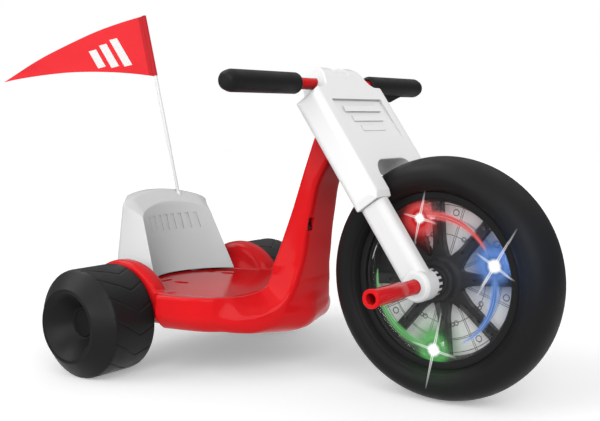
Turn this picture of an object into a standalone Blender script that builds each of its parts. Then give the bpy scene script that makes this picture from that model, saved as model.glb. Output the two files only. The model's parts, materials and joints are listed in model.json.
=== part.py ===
"""Electric ride-on trike: big front wheel in a raked fork, low deck, two wide rear wheels.

Metres, +Z up, +X forward, +Y to the rider's left, wheels on Z = 0.
The trike frame sits under the rear axle; the fork frame sits on the front axle and leans with the fork.
"""
import bmesh
import bpy
import math
from mathutils import Matrix, Vector

# Driving dimensions: running gear
WHEELBASE = 0.577
FRONT_TYRE_RADIUS = 0.200
FRONT_TYRE_WIDTH = 0.106
FRONT_RIM_RADIUS = 0.1437
REAR_WHEEL_RADIUS = 0.0975
REAR_TREAD_OUTER = 0.277
REAR_TREAD_WIDTH = 0.0935
REAR_LIP_OUTER = 0.303
REAR_LIP_RADIUS = 0.067
DISH_DEPTH = 0.031
AXLE_RADIUS = 0.005

# Driving dimensions: fork and steering
FORK_RAKE = math.radians(35.0)
STEER_OFFSET = 0.050
CROWN_HALF_WIDTH = 0.106
CROWN_HALF_DEPTH = 0.0266
CROWN_SHOULDER = 0.365
COLLAR_HEIGHT = 0.150
ARCH_HEIGHT = 0.2175
LEG_INNER = 0.066
LEG_OUTER = 0.0965
LEG_HALF_DEPTH = 0.0235
BOSS_RADIUS = 0.0255
BOSS_OUTER = 0.100
HEAD_RADIUS = 0.022
HEAD_BOTTOM = 0.243
HEAD_TOP = 0.346
STEM_RADIUS = 0.008

# Driving dimensions: handlebar
BAR_HEIGHT = 0.388
BAR_RADIUS = 0.0099
BAR_LENGTH = 0.566
EAR_INNER = 0.018
EAR_OUTER = 0.048
EAR_RISE = 0.0295
GRIP_RADIUS = 0.0178
GRIP_INNER = CROWN_HALF_WIDTH + 0.0005
GRIP_OUTER = 0.290
TRIGGER_CENTRE = 0.182

# Driving dimensions: foot pegs
PEG_OUTER = 0.2256
PEG_RADIUS = 0.0148
PEG_ROOT_RADIUS = 0.0119
PEG_BORE = 0.0085

# Driving dimensions: body
DECK_TOP = 0.152
DECK_RECESS = 0.003
BODY_BOTTOM = 0.088
SKIRT_EDGE = 0.111
WALL = 0.003
TAIL_LENGTH = 0.108
BODY_WAIST = 0.180
FENDER_RADIUS = 0.1035
FENDER_AHEAD = 0.006
FENDER_INNER = 0.140

# Driving dimensions: seat back, pole and flag
SEAT_TOP = 0.2955
SEAT_DOME = 0.0225
SEAT_WALL = 0.0035
POLE_SIDE = 0.045
POLE_FOOT_X = -0.0628
POLE_FOOT_Z = 0.3134
POLE_LEAN = math.radians(14.25)
POLE_RADIUS = 0.0034
POLE_ABOVE_SEAT = 0.3675
POLE_IN_SEAT = 0.055
FLAG_HOIST = 0.127
FLAG_LENGTH = 0.3295
FLAG_SWING = math.radians(26.4)
FLAG_THICKNESS = 0.0016
FLAG_BOW = 0.015

# Clearances
GAP = 0.0003
RUNNING_GAP = 0.0005

# Where the frames stand: the origin is under the middle of the whole length
POLE_UP = Vector((-math.sin(POLE_LEAN), 0, math.cos(POLE_LEAN)))
FLAG_BACK = Vector((-math.cos(POLE_LEAN), 0, -math.sin(POLE_LEAN)))
FLAG_DIRECTION = FLAG_BACK * math.cos(FLAG_SWING) + Vector((0, -1, 0)) * math.sin(FLAG_SWING)
POLE_FOOT = Vector((POLE_FOOT_X, POLE_SIDE, POLE_FOOT_Z))
POLE_TOP = POLE_FOOT + POLE_UP * POLE_ABOVE_SEAT
FLAG_MIDDLE = POLE_TOP - POLE_UP * FLAG_HOIST / 2
FLAG_TIP = FLAG_MIDDLE + FLAG_DIRECTION * FLAG_LENGTH
FRONT_REACH = WHEELBASE + FRONT_TYRE_RADIUS
REAR_AXLE_X = -(FRONT_REACH + FLAG_TIP.x) / 2
SIDES = (("right", -1), ("left", 1))


def clear_scene():
    for obj in list(bpy.data.objects):
        bpy.data.objects.remove(obj, do_unlink=True)


def new_collection(name):
    collection = bpy.data.collections.new(name)
    bpy.context.scene.collection.children.link(collection)
    return collection


def finish_material(name, colour, roughness, metallic=0.0):
    mat = bpy.data.materials.new(name)
    mat.use_nodes = True
    shader = mat.node_tree.nodes["Principled BSDF"]
    shader.inputs["Base Color"].default_value = (*colour, 1.0)
    shader.inputs["Roughness"].default_value = roughness
    shader.inputs["Metallic"].default_value = metallic
    return mat


clear_scene()
PARTS = new_collection("electric_ride_on_trike")
CUTTERS = new_collection("cutters")

COLOURS = {
    "gloss_red": ((0.62, 0.012, 0.016), 0.25, 0.0),
    "white_plastic": ((0.86, 0.86, 0.86), 0.35, 0.0),
    "black_rubber": ((0.022, 0.022, 0.022), 0.6, 0.0),
    "black_plastic": ((0.03, 0.03, 0.032), 0.45, 0.0),
    "dark_grey_plastic": ((0.045, 0.045, 0.047), 0.4, 0.0),
    "pale_grey_plastic": ((0.72, 0.72, 0.72), 0.4, 0.0),
    "clear_plastic": ((0.8, 0.8, 0.8), 0.1, 0.0),
    "steel": ((0.6, 0.6, 0.6), 0.3, 1.0),
    "flag_cloth": ((0.78, 0.03, 0.04), 0.7, 0.0),
    "glass_fibre": ((0.75, 0.75, 0.75), 0.4, 0.0),
    "red_lens": ((0.9, 0.05, 0.05), 0.15, 0.0),
    "blue_lens": ((0.05, 0.2, 0.9), 0.15, 0.0),
    "green_lens": ((0.05, 0.8, 0.15), 0.15, 0.0),
}


def empty(name, location, rotation=(0, 0, 0), parent=None):
    obj = bpy.data.objects.new(name, None)
    obj.location = location
    obj.rotation_euler = rotation
    obj.parent = parent
    PARTS.objects.link(obj)
    return obj


TRIKE = empty("trike_frame", (REAR_AXLE_X, 0, 0))
FORK = empty("fork_frame", (WHEELBASE, 0, FRONT_TYRE_RADIUS), (0, -FORK_RAKE, 0), TRIKE)
STEER = empty("steering_axis", (-STEER_OFFSET, 0, 0), parent=FORK)
POLE = empty("pole_axis", POLE_FOOT, (0, -POLE_LEAN, 0), TRIKE)
FRONT_HUB = empty("front_axle_axis", (WHEELBASE, 0, FRONT_TYRE_RADIUS), parent=TRIKE)
REAR_HUB = empty("rear_axle_axis", (0, 0, REAR_WHEEL_RADIUS), parent=TRIKE)


def add_object(name, bm, finish, parent, smooth=40.0):
    """Turns a bmesh into a part (finish is a colour name) or into a cutter (finish is None)."""
    mesh = bpy.data.meshes.new(name)
    bmesh.ops.recalc_face_normals(bm, faces=bm.faces)
    if bm.calc_volume(signed=True) < 0:
        bmesh.ops.reverse_faces(bm, faces=bm.faces)
    bm.to_mesh(mesh)
    bm.free()
    obj = bpy.data.objects.new(name, mesh)
    obj.parent = parent
    if finish is None:
        CUTTERS.objects.link(obj)
        obj.hide_render = True
        obj.display_type = "WIRE"
    else:
        PARTS.objects.link(obj)
        mesh.materials.append(finish_material(name, *COLOURS[finish]))
        mesh.shade_smooth()
        mesh.set_sharp_from_angle(angle=math.radians(smooth))
    return obj


def box(name, low, high, finish, parent, bevel=0.0, segments=2):
    """Box between two corners, its edges rounded with a Bevel modifier."""
    bm = bmesh.new()
    bmesh.ops.create_cube(bm, size=1.0)
    size = Vector(high) - Vector(low)
    middle = (Vector(high) + Vector(low)) / 2
    bm.transform(Matrix.Translation(middle) @ Matrix.Diagonal((*size, 1.0)))
    obj = add_object(name, bm, finish, parent)
    if bevel:
        mod = obj.modifiers.new("rounding", "BEVEL")
        mod.width = bevel
        mod.segments = segments
        mod.limit_method = "ANGLE"
    return obj


def rod(name, start, end, radius, finish, parent, sides=24, end_radius=None):
    """Round bar or cone between two points."""
    start, end = Vector(start), Vector(end)
    bm = bmesh.new()
    bmesh.ops.create_cone(
        bm, cap_ends=True, segments=sides, radius1=radius,
        radius2=radius if end_radius is None else end_radius, depth=(end - start).length,
    )
    turn = (end - start).to_track_quat("Z", "Y").to_matrix().to_4x4()
    bm.transform(Matrix.Translation((start + end) / 2) @ turn)
    return add_object(name, bm, finish, parent)


def side_rod(name, side, inner, outer, radius, finish, parent, sides=24, at=(0, 0)):
    """Cross bar on one side of the trike, between two distances from the middle plane."""
    start, end = (at[0], side * inner, at[1]), (at[0], side * outer, at[1])
    return rod(name, start, end, radius, finish, parent, sides)


def turned(name, profile, steps, finish, parent, side=0, at=(0, 0, 0)):
    """Profile of (radius, height) turned with a Screw modifier, top to bottom on its outer side.

    With side +1 or -1 the height runs outward across the trike; with side 0 it runs up the parent's Z.
    """
    mesh = bpy.data.meshes.new(name)
    closed = min(radius for radius, height in profile) > 0
    count = len(profile)
    edges = [(i, (i + 1) % count) for i in range(count if closed else count - 1)]
    mesh.from_pydata([(radius, 0, height) for radius, height in profile], edges, [])
    obj = bpy.data.objects.new(name, mesh)
    obj.parent = parent
    obj.location = at
    obj.rotation_euler = (-side * math.pi / 2, 0, 0)
    mod = obj.modifiers.new("turning", "SCREW")
    mod.steps = mod.render_steps = steps
    mod.use_merge_vertices = True
    mod.merge_threshold = 0.00001
    mod.use_smooth_shade = True
    if finish is None:
        CUTTERS.objects.link(obj)
        obj.hide_render = True
        obj.display_type = "WIRE"
    else:
        PARTS.objects.link(obj)
        mesh.materials.append(finish_material(name, *COLOURS[finish]))
    return obj


def extruded(name, outline, thickness, finish, parent, matrix, bevel=0.0, segments=2):
    """Flat outline of (u, v) points given a thickness along w, set in place by a matrix."""
    bm = bmesh.new()
    verts = [bm.verts.new((u, v, -thickness / 2)) for u, v in outline]
    face = bm.faces.new(verts)
    grown = bmesh.ops.extrude_face_region(bm, geom=[face])
    moved = [item for item in grown["geom"] if isinstance(item, bmesh.types.BMVert)]
    bmesh.ops.translate(bm, verts=moved, vec=(0, 0, thickness))
    bm.transform(matrix)
    obj = add_object(name, bm, finish, parent)
    if bevel:
        mod = obj.modifiers.new("rounding", "BEVEL")
        mod.width = bevel
        mod.segments = segments
        mod.limit_method = "ANGLE"
        mod.angle_limit = math.radians(50)
    return obj


def lofted(name, rings, finish, parent, smooth=40.0):
    """Skin over closed rings of equal point counts, with a flat cap on the first and last."""
    bm = bmesh.new()
    rows = [[bm.verts.new(point) for point in ring] for ring in rings]
    count = len(rows[0])
    for lower, upper in zip(rows, rows[1:]):
        for i in range(count):
            j = (i + 1) % count
            bm.faces.new((lower[i], lower[j], upper[j], upper[i]))
    bm.faces.new(rows[0][::-1])
    bm.faces.new(rows[-1])
    return add_object(name, bm, finish, parent, smooth)


def combine(obj, other, operation):
    """Boolean with a cutter or a piece to be joined."""
    mod = obj.modifiers.new(operation.lower() + "_" + other.name, "BOOLEAN")
    mod.operation = operation
    mod.object = other
    mod.solver = "EXACT"
    return obj


def arc(centre, radius, start, end, count):
    """Points on an arc in degrees, both ends included."""
    points = []
    for i in range(count + 1):
        angle = math.radians(start + (end - start) * i / count)
        points.append((centre[0] + radius * math.cos(angle), centre[1] + radius * math.sin(angle)))
    return points


def mirrored(half):
    """Outline from its right half, whose ends lie off the mirror line."""
    return half + [(-u, v) for u, v in reversed(half)]


# Front wheel: two black halves clamp the light board, clear covers close them, the tyre sits on the rim
WHEEL_STEPS = 36
HALF_PLANE = 0.0015
BOARD_HALF = HALF_PLANE - GAP
TYRE_BEAD_HALF = 0.0325
TYRE_WALL = 0.006
RIM_INNER = 0.1325
COVER_SEAT = 0.026
COVER_THICKNESS = 0.002
COVER_RISE = 0.0105
WEB_DEPTH = 0.016
HUB_RADIUS = 0.032
HUB_HALF = 0.036
HUB_BORE = 0.0115
BEARING_RADIUS = 0.013
BEARING_WIDTH = 0.008
SPOKES = 8
SPOKE_PHASE = 4.5
SPOKE_HALF = 0.0085
WINDOW_TIP = 0.041
WINDOW_TIP_TURN = 4.0
WINDOW_BEND = 0.062
WINDOW_OUTER = 0.127
LAMP_RADIUS = 0.0042
LAMP_HEIGHT = 0.0215
LAMPS = (("red", 0.106, 110.0), ("blue", 0.103, 18.7), ("green", 0.114, -93.0))


def wheel_point(radius, degrees):
    angle = math.radians(degrees)
    return radius * math.cos(angle), radius * math.sin(angle)


def tyre_outline(shrink):
    """Cross-section of the tyre from one bead over the tread to the other, pulled in by shrink."""
    half = FRONT_TYRE_WIDTH / 2 - shrink
    crown = FRONT_TYRE_RADIUS - shrink
    bead = FRONT_RIM_RADIUS + GAP
    depth = crown - bead
    widths = (
        (0.0, TYRE_BEAD_HALF - shrink), (0.10, 0.815 * half), (0.20, 0.93 * half), (0.375, half),
        (0.64, 0.906 * half), (0.817, 0.707 * half), (0.935, 0.445 * half), (1.0, 0.09 * half),
    )
    upper = [(bead + share * depth, width) for share, width in widths]
    return upper + [(radius, -width) for radius, width in reversed(upper)]


def front_tyre():
    outer = tyre_outline(0.0)
    inner = [point for i, point in enumerate(tyre_outline(TYRE_WALL)) if i in (0, 3, 5, 7, 8, 10, 12, 15)]
    turned("front_tyre", outer + inner[::-1], WHEEL_STEPS, "black_rubber", FRONT_HUB, side=1)


def window_cutter(name, index):
    """Opening between two spokes: round outer end, sides along the spokes, then a taper to a blunt tip."""
    pitch = 360.0 / SPOKES
    middle = SPOKE_PHASE + pitch * (index + 0.5)
    rim_turn = pitch / 2 - math.degrees(math.asin(SPOKE_HALF / WINDOW_OUTER))
    bend_turn = pitch / 2 - math.degrees(math.asin(SPOKE_HALF / WINDOW_BEND))
    outline = [wheel_point(WINDOW_OUTER, middle + rim_turn * share) for share in (-1, -0.35, 0.35, 1)]
    outline += [
        wheel_point(WINDOW_BEND, middle + bend_turn), wheel_point(WINDOW_TIP, middle + WINDOW_TIP_TURN),
        wheel_point(WINDOW_TIP, middle - WINDOW_TIP_TURN), wheel_point(WINDOW_BEND, middle - bend_turn),
    ]
    matrix = Matrix.Rotation(math.pi / 2, 4, "X")
    return extruded(name, outline, 0.2, None, FRONT_HUB, matrix)


def wheel_halves():
    pocket = HUB_HALF - BEARING_WIDTH - GAP
    race = BEARING_RADIUS + GAP
    rim = FRONT_RIM_RADIUS
    profile = [
        (HUB_RADIUS, HUB_HALF), (HUB_RADIUS, WEB_DEPTH + 0.004), (HUB_RADIUS + 0.006, WEB_DEPTH),
        (RIM_INNER - 0.004, WEB_DEPTH), (RIM_INNER - 0.004, COVER_SEAT), (RIM_INNER, COVER_SEAT),
        (RIM_INNER, TYRE_BEAD_HALF), (rim, TYRE_BEAD_HALF), (rim, HALF_PLANE), (HUB_BORE, HALF_PLANE),
        (HUB_BORE, pocket), (race, pocket), (race, HUB_HALF),
    ]
    cutters = [window_cutter("window_%d_cut" % index, index) for index in range(SPOKES)]
    for name, side in SIDES:
        half = turned("wheel_half_" + name, profile, WHEEL_STEPS, "black_plastic", FRONT_HUB, side=side)
        for cutter in cutters:
            combine(half, cutter, "DIFFERENCE")


def light_board():
    edge = RIM_INNER - 0.002
    profile = [(edge, BOARD_HALF), (edge, -BOARD_HALF), (HUB_BORE, -BOARD_HALF), (HUB_BORE, BOARD_HALF)]
    board = turned("light_board", profile, WHEEL_STEPS, "pale_grey_plastic", FRONT_HUB, side=1)
    for colour, radius, degrees in LAMPS:
        x, z = wheel_point(radius, degrees)
        start, end = (x, -0.01, z), (x, 0.01, z)
        hole = rod(colour + "_hole_cut", start, end, LAMP_RADIUS + GAP, None, FRONT_HUB, 12)
        combine(board, hole, "DIFFERENCE")


def lamps_and_pack():
    """Each lamp passes through the board and shows a dome on both sides of it."""
    dome = BOARD_HALF + LAMP_HEIGHT - LAMP_RADIUS
    upper = [(0, dome + LAMP_RADIUS)]
    upper += [(r, dome + h) for r, h in arc((0, 0), LAMP_RADIUS, 70, 0, 3)]
    profile = upper + [(r, -h) for r, h in reversed(upper)]
    for colour, radius, degrees in LAMPS:
        x, z = wheel_point(radius, degrees)
        turned("lamp_" + colour, profile, 12, colour + "_lens", FRONT_HUB, side=1, at=(x, 0, z))
    x, z = wheel_point(0.086, SPOKE_PHASE + 202.5)
    low = (x - 0.014, BOARD_HALF + GAP, z - 0.014)
    box("light_pack", low, (x + 0.014, WEB_DEPTH, z + 0.014), "dark_grey_plastic", FRONT_HUB, 0.002, 1)


def wheel_covers():
    """Clear dished covers from the rim's ledge to the hub, of one wall thickness."""
    seat = COVER_SEAT + GAP
    edge = RIM_INNER - GAP
    bore = HUB_RADIUS + GAP
    shape = ((0.0, 0.0), (0.10, 0.50), (0.35, 0.85), (1.0, 1.0))
    skin = [(edge + share * (bore - edge), seat + rise * COVER_RISE) for share, rise in shape]
    outer = [(radius, height + COVER_THICKNESS) for radius, height in skin]
    profile = outer[::-1] + skin
    for name, side in SIDES:
        turned("wheel_cover_" + name, profile, WHEEL_STEPS, "clear_plastic", FRONT_HUB, side=side)


def front_bearings():
    inner, outer = AXLE_RADIUS + GAP, BEARING_RADIUS
    top, low = HUB_HALF, HUB_HALF - BEARING_WIDTH
    profile = [(outer, top), (outer, low), (inner, low), (inner, top)]
    for name, side in SIDES:
        turned("front_bearing_" + name, profile, 16, "steel", FRONT_HUB, side=side)


# Axle, spacers and pegs
SPACER_FLANGE = 0.0245
SPACER_NECK = 0.0085
LEG_BOSS_INNER = 0.064
PEG_SEAT = 0.0955
PEG_SOCKET_DEPTH = 0.130


def front_axle():
    reach = PEG_SOCKET_DEPTH - 0.008
    rod("front_axle", (0, -reach, 0), (0, reach, 0), AXLE_RADIUS, "steel", FRONT_HUB, 20)
    bore = AXLE_RADIUS + GAP
    inner, outer = HUB_HALF + GAP, LEG_BOSS_INNER - GAP
    flange = LEG_BOSS_INNER - 0.012
    profile = [
        (SPACER_FLANGE, outer), (SPACER_FLANGE, flange), (SPACER_NECK, flange - 0.002),
        (SPACER_NECK, inner), (bore, inner), (bore, outer),
    ]
    for name, side in SIDES:
        turned("front_spacer_" + name, profile, 16, "dark_grey_plastic", FRONT_HUB, side=side)


def foot_pegs():
    root = PEG_SEAT + GAP
    thread = AXLE_RADIUS + GAP
    profile = [
        (PEG_RADIUS - 0.001, PEG_OUTER), (PEG_RADIUS, PEG_OUTER - 0.001), (PEG_RADIUS, PEG_OUTER - 0.004),
        (PEG_RADIUS - 0.0007, PEG_OUTER - 0.008), (PEG_RADIUS - 0.001, 0.142), (PEG_ROOT_RADIUS, 0.138),
        (PEG_ROOT_RADIUS, root), (thread, root), (thread, PEG_SOCKET_DEPTH),
        (PEG_BORE, PEG_SOCKET_DEPTH), (PEG_BORE, PEG_OUTER),
    ]
    for name, side in SIDES:
        turned("foot_peg_" + name, profile, 16, "gloss_red", FRONT_HUB, side=side)


# Fork: legs with axle bosses, and the crown that holds them
TENON_TOP = 0.235
TENON_INSET = 0.0035
LEG_SPLIT = COLLAR_HEIGHT - GAP
CROWN_LUG = 0.028
CROWN_INNER = 0.059
UPPER_LUG = (0.349, 0.365)
LOWER_LUG = (0.222, 0.240)
RECESS_HALF = 0.0755
RECESS_LOW = 0.2605
RECESS_HIGH = 0.339
RECESS_DEPTH = 0.005


def leg_section(side, height, grow):
    """Eight-sided section of a leg, its outer corners cut more than its inner ones."""
    near, far, half = LEG_INNER - grow, LEG_OUTER + grow, LEG_HALF_DEPTH + grow
    inner, outer = 0.006, 0.009
    points = [
        (-half + inner, near), (-half, near + inner), (-half, far - outer), (-half + outer, far),
        (half - outer, far), (half, far - outer), (half, near + inner), (half - inner, near),
    ]
    return [(n, side * y, height) for n, y in points]


def fork_legs():
    bore = AXLE_RADIUS + GAP
    socket = PEG_ROOT_RADIUS + GAP
    for name, side in SIDES:
        rings = [
            leg_section(side, 0.0, 0.0), leg_section(side, LEG_SPLIT, 0.0),
            leg_section(side, LEG_SPLIT, -TENON_INSET), leg_section(side, TENON_TOP, -TENON_INSET),
        ]
        leg = lofted("fork_leg_" + name, rings, "white_plastic", FORK)
        boss_profile = [
            (0, BOSS_OUTER), (BOSS_RADIUS - 0.004, BOSS_OUTER), (BOSS_RADIUS - 0.002, BOSS_OUTER - 0.002),
            (BOSS_RADIUS - 0.002, LEG_OUTER + 0.0007), (BOSS_RADIUS, LEG_OUTER - 0.0025),
            (BOSS_RADIUS, LEG_BOSS_INNER), (0, LEG_BOSS_INNER),
        ]
        boss = turned("boss_%s_join" % name, boss_profile, 20, None, FORK, side=side)
        combine(leg, boss, "UNION")
        hole = side_rod("axle_hole_%s_cut" % name, side, 0.05, 0.12, bore, None, FORK, 12)
        combine(leg, hole, "DIFFERENCE")
        pocket = side_rod("peg_socket_%s_cut" % name, side, PEG_SEAT, 0.12, socket, None, FORK, 16)
        combine(leg, pocket, "DIFFERENCE")


def crown_front_outline():
    """Front view (y, s): two sockets round an arch below, shoulders and two bar ears above."""
    width = CROWN_HALF_WIDTH
    arch_corner = 0.030
    half = arc((CROWN_INNER - arch_corner, ARCH_HEIGHT - arch_corner), arch_corner, 90, 0, 5)
    half += [(CROWN_INNER, COLLAR_HEIGHT), (width - 0.0045, COLLAR_HEIGHT), (width, COLLAR_HEIGHT + 0.0117)]
    half += arc((width - 0.013, CROWN_SHOULDER - 0.0135), 0.013, 0, 80, 3)
    half += [(0.0765, CROWN_SHOULDER + 0.0005), (0.068, CROWN_SHOULDER + 0.005)]
    half += [(0.0625, CROWN_SHOULDER + 0.013)]
    half += [(EAR_OUTER + 0.008, BAR_HEIGHT + 0.004), (EAR_OUTER + 0.002, BAR_HEIGHT + 0.016)]
    half += [(EAR_OUTER, BAR_HEIGHT + 0.034), (EAR_INNER, BAR_HEIGHT + 0.034)]
    half += [(EAR_INNER, BAR_HEIGHT + 0.004)]
    return mirrored(half)


def crown_side_outline():
    """Side view (n, s): a flat slab with a chamfered foot and a tall round top over the bar."""
    depth = CROWN_HALF_DEPTH
    foot = [(depth - 0.004, COLLAR_HEIGHT), (depth, COLLAR_HEIGHT + 0.0117)]
    top = [(n, BAR_HEIGHT + EAR_RISE / depth * rise) for n, rise in arc((0, 0), depth, 0, 180, 10)]
    return foot + top + [(-n, s) for n, s in reversed(foot)]


def crown_top_outline():
    """Plan (n, y): a slab with round corners."""
    depth, width = CROWN_HALF_DEPTH, CROWN_HALF_WIDTH
    front, rear = 0.0123, 0.0145
    half = arc((depth - front, width - front), front, 0, 90, 5)
    half += arc((rear - depth, width - rear), rear, 90, 180, 5)
    return half + [(n, -y) for n, y in reversed(half)]


def lug_outline():
    """Plan (n, y) of a steering lug: round about the steering axis, running into the crown."""
    root = -CROWN_HALF_DEPTH + 0.006
    tip = arc((-STEER_OFFSET, 0), CROWN_LUG, 90, 270, 10)
    return [(root, CROWN_LUG)] + tip + [(root, -CROWN_LUG)]


def slab(name, outline, low, high, finish):
    """Plan outline of the fork frame between two heights up the fork."""
    matrix = Matrix.Translation((0, 0, (low + high) / 2))
    return extruded(name, outline, high - low, finish, FORK, matrix)


def crown_recess():
    """Sloping panel in the crown's face, deepest at the top, round three raised bars."""
    face = CROWN_HALF_DEPTH
    proud = face + 0.02
    side_view = [
        (face - RECESS_DEPTH, RECESS_HIGH), (proud, RECESS_HIGH),
        (proud, RECESS_LOW), (face - 0.0006, RECESS_LOW),
    ]
    across = Matrix(((1, 0, 0, 0), (0, 0, 1, 0), (0, 1, 0, 0), (0, 0, 0, 1)))
    recess = extruded("recess_cut", side_view, 2 * RECESS_HALF, None, FORK, across)
    pitch = (RECESS_HIGH - RECESS_LOW) / 4
    for row in range(3):
        middle = RECESS_HIGH - pitch * (row + 1)
        reach = 0.054 - 0.010 * row
        half = pitch * 0.28
        low, high = (face - 0.02, -reach, middle - half), (face - 0.0004, reach, middle + half)
        bar = box("raised_bar_%d_keep" % row, low, high, None, FORK)
        combine(recess, bar, "DIFFERENCE")
    return recess


def fork_crown():
    facing = Matrix(((0, 0, 1, 0), (1, 0, 0, 0), (0, 1, 0, 0), (0, 0, 0, 1)))
    across = Matrix(((1, 0, 0, 0), (0, 0, 1, 0), (0, 1, 0, 0), (0, 0, 0, 1)))
    crown = extruded("fork_crown", crown_front_outline(), 0.08, "white_plastic", FORK, facing)
    side_form = extruded("crown_side_keep", crown_side_outline(), 0.3, None, FORK, across)
    plan_form = slab("crown_plan_keep", crown_top_outline(), 0.1, 0.5, None)
    combine(crown, side_form, "INTERSECT")
    combine(crown, plan_form, "INTERSECT")
    for name, (low, high) in (("upper", UPPER_LUG), ("lower", LOWER_LUG)):
        combine(crown, slab(name + "_lug_join", lug_outline(), low, high, None), "UNION")
    stem_hole = rod(
        "stem_hole_cut", (-STEER_OFFSET, 0, 0.2), (-STEER_OFFSET, 0, 0.4),
        STEM_RADIUS + GAP, None, FORK, 24,
    )
    combine(crown, stem_hole, "DIFFERENCE")
    reach = CROWN_HALF_WIDTH + 0.02
    start, end = (0, -reach, BAR_HEIGHT), (0, reach, BAR_HEIGHT)
    bar_hole = rod("bar_hole_cut", start, end, BAR_RADIUS + GAP, None, FORK, 24)
    combine(crown, bar_hole, "DIFFERENCE")
    combine(crown, crown_recess(), "DIFFERENCE")
    for name, side in SIDES:
        grow = GAP - TENON_INSET
        rings = [leg_section(side, 0.1, grow), leg_section(side, TENON_TOP + GAP, grow)]
        combine(crown, lofted("tenon_%s_cut" % name, rings, None, FORK), "DIFFERENCE")


# Steering: stem through both lugs and the head tube, on two flanged bushes
NUT_RADIUS = 0.0125
NUT_HEIGHT = 0.008
BUSH_RADIUS = 0.0125
BUSH_LENGTH = 0.020


def steering_parts():
    foot = LOWER_LUG[0] - GAP
    cap = UPPER_LUG[1]
    profile = [
        (0, cap + NUT_HEIGHT + 0.004), (STEM_RADIUS, cap + NUT_HEIGHT + 0.004), (STEM_RADIUS, foot),
        (NUT_RADIUS + 0.001, foot), (NUT_RADIUS + 0.001, foot - 0.006), (0, foot - 0.006),
    ]
    turned("steering_stem", profile, 24, "steel", STEER)
    nut = rod("stem_nut", (0, 0, cap + GAP), (0, 0, cap + GAP + NUT_HEIGHT), NUT_RADIUS, "steel", STEER, 6)
    bore = rod("nut_bore_cut", (0, 0, cap - 0.01), (0, 0, cap + 0.03), STEM_RADIUS + GAP, None, STEER, 24)
    combine(nut, bore, "DIFFERENCE")
    inner = STEM_RADIUS + GAP
    flange = BUSH_RADIUS + 0.005
    upper, lower = UPPER_LUG[0] - GAP, LOWER_LUG[1] + GAP
    top, bottom = HEAD_TOP + GAP, HEAD_BOTTOM - GAP
    turned("head_bush_upper", [
        (flange, upper), (flange, top), (BUSH_RADIUS, top), (BUSH_RADIUS, top - BUSH_LENGTH),
        (inner, top - BUSH_LENGTH), (inner, upper),
    ], 16, "dark_grey_plastic", STEER)
    turned("head_bush_lower", [
        (BUSH_RADIUS, bottom + BUSH_LENGTH), (BUSH_RADIUS, bottom), (flange, bottom), (flange, lower),
        (inner, lower), (inner, bottom + BUSH_LENGTH),
    ], 16, "dark_grey_plastic", STEER)


# Handlebar, grips and the sprung throttle trigger under the rider's left grip
BAR = empty("bar_axis", FORK.location + Vector((
    -math.sin(FORK_RAKE) * BAR_HEIGHT, 0, math.cos(FORK_RAKE) * BAR_HEIGHT)), parent=TRIKE)
TRIGGER_HALF = 0.0065
TRIGGER_DEPTH = 0.0285
TRIGGER_INNER = TRIGGER_CENTRE - 0.022
TRIGGER_PIVOT = TRIGGER_CENTRE + 0.040
TRIGGER_DROP = 0.0130
PIN_RADIUS = 0.0015


def handlebar():
    half, bore = BAR_LENGTH / 2, BAR_RADIUS - 0.0018
    profile = [(BAR_RADIUS, half), (BAR_RADIUS, -half), (bore, -half), (bore, half)]
    turned("handlebar", profile, 24, "gloss_red", BAR, side=1)


def grips():
    bore = BAR_RADIUS + GAP
    end = GRIP_OUTER
    profile = [
        (0, end), (GRIP_RADIUS - 0.0083, end), (GRIP_RADIUS - 0.0033, end - 0.0045),
        (GRIP_RADIUS, end - 0.016), (GRIP_RADIUS, GRIP_INNER + 0.006), (GRIP_RADIUS - 0.004, GRIP_INNER),
        (bore, GRIP_INNER), (bore, BAR_LENGTH / 2 + GAP), (0, BAR_LENGTH / 2 + GAP),
    ]
    made = {}
    for name, side in SIDES:
        made[name] = turned("grip_" + name, profile, 20, "black_rubber", BAR, side=side)
    gap = RUNNING_GAP
    low = (-TRIGGER_HALF - gap, TRIGGER_INNER - 0.003, -0.04)
    high = (TRIGGER_HALF + gap, TRIGGER_PIVOT + 0.0065, -BAR_RADIUS - 0.0013)
    combine(made["left"], box("trigger_slot_cut", low, high, None, BAR), "DIFFERENCE")
    hole = rod(
        "grip_pin_cut", (-0.03, TRIGGER_PIVOT, -TRIGGER_DROP), (0.03, TRIGGER_PIVOT, -TRIGGER_DROP),
        PIN_RADIUS + GAP, None, BAR, 12,
    )
    combine(made["left"], hole, "DIFFERENCE")


def throttle():
    pivot, nose = TRIGGER_PIVOT, TRIGGER_INNER
    outline = [
        (pivot + 0.0035, -0.0125), (pivot + 0.004, -0.0165),
        (pivot - 0.014, -0.0205), (nose + 0.029, -0.0262),
        (nose + 0.021, -TRIGGER_DEPTH), (nose + 0.013, -TRIGGER_DEPTH + 0.0004), (nose + 0.006, -0.0250),
        (nose + 0.001, -0.0190), (nose, -0.0158), (pivot - 0.006, -0.0118), (pivot, -0.0113),
    ]
    turn = Matrix(((0, 0, 1, 0), (1, 0, 0, 0), (0, 1, 0, 0), (0, 0, 0, 1)))
    trigger = extruded("throttle_trigger", outline, 2 * TRIGGER_HALF, "black_rubber", BAR, turn, 0.0012, 2)
    hole = rod(
        "trigger_pin_cut", (-0.03, pivot, -TRIGGER_DROP), (0.03, pivot, -TRIGGER_DROP),
        PIN_RADIUS + GAP, None, BAR, 12,
    )
    combine(trigger, hole, "DIFFERENCE")
    reach = 0.011
    rod(
        "trigger_pin", (-reach, pivot, -TRIGGER_DROP), (reach, pivot, -TRIGGER_DROP),
        PIN_RADIUS, "steel", BAR, 10,
    )


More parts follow.
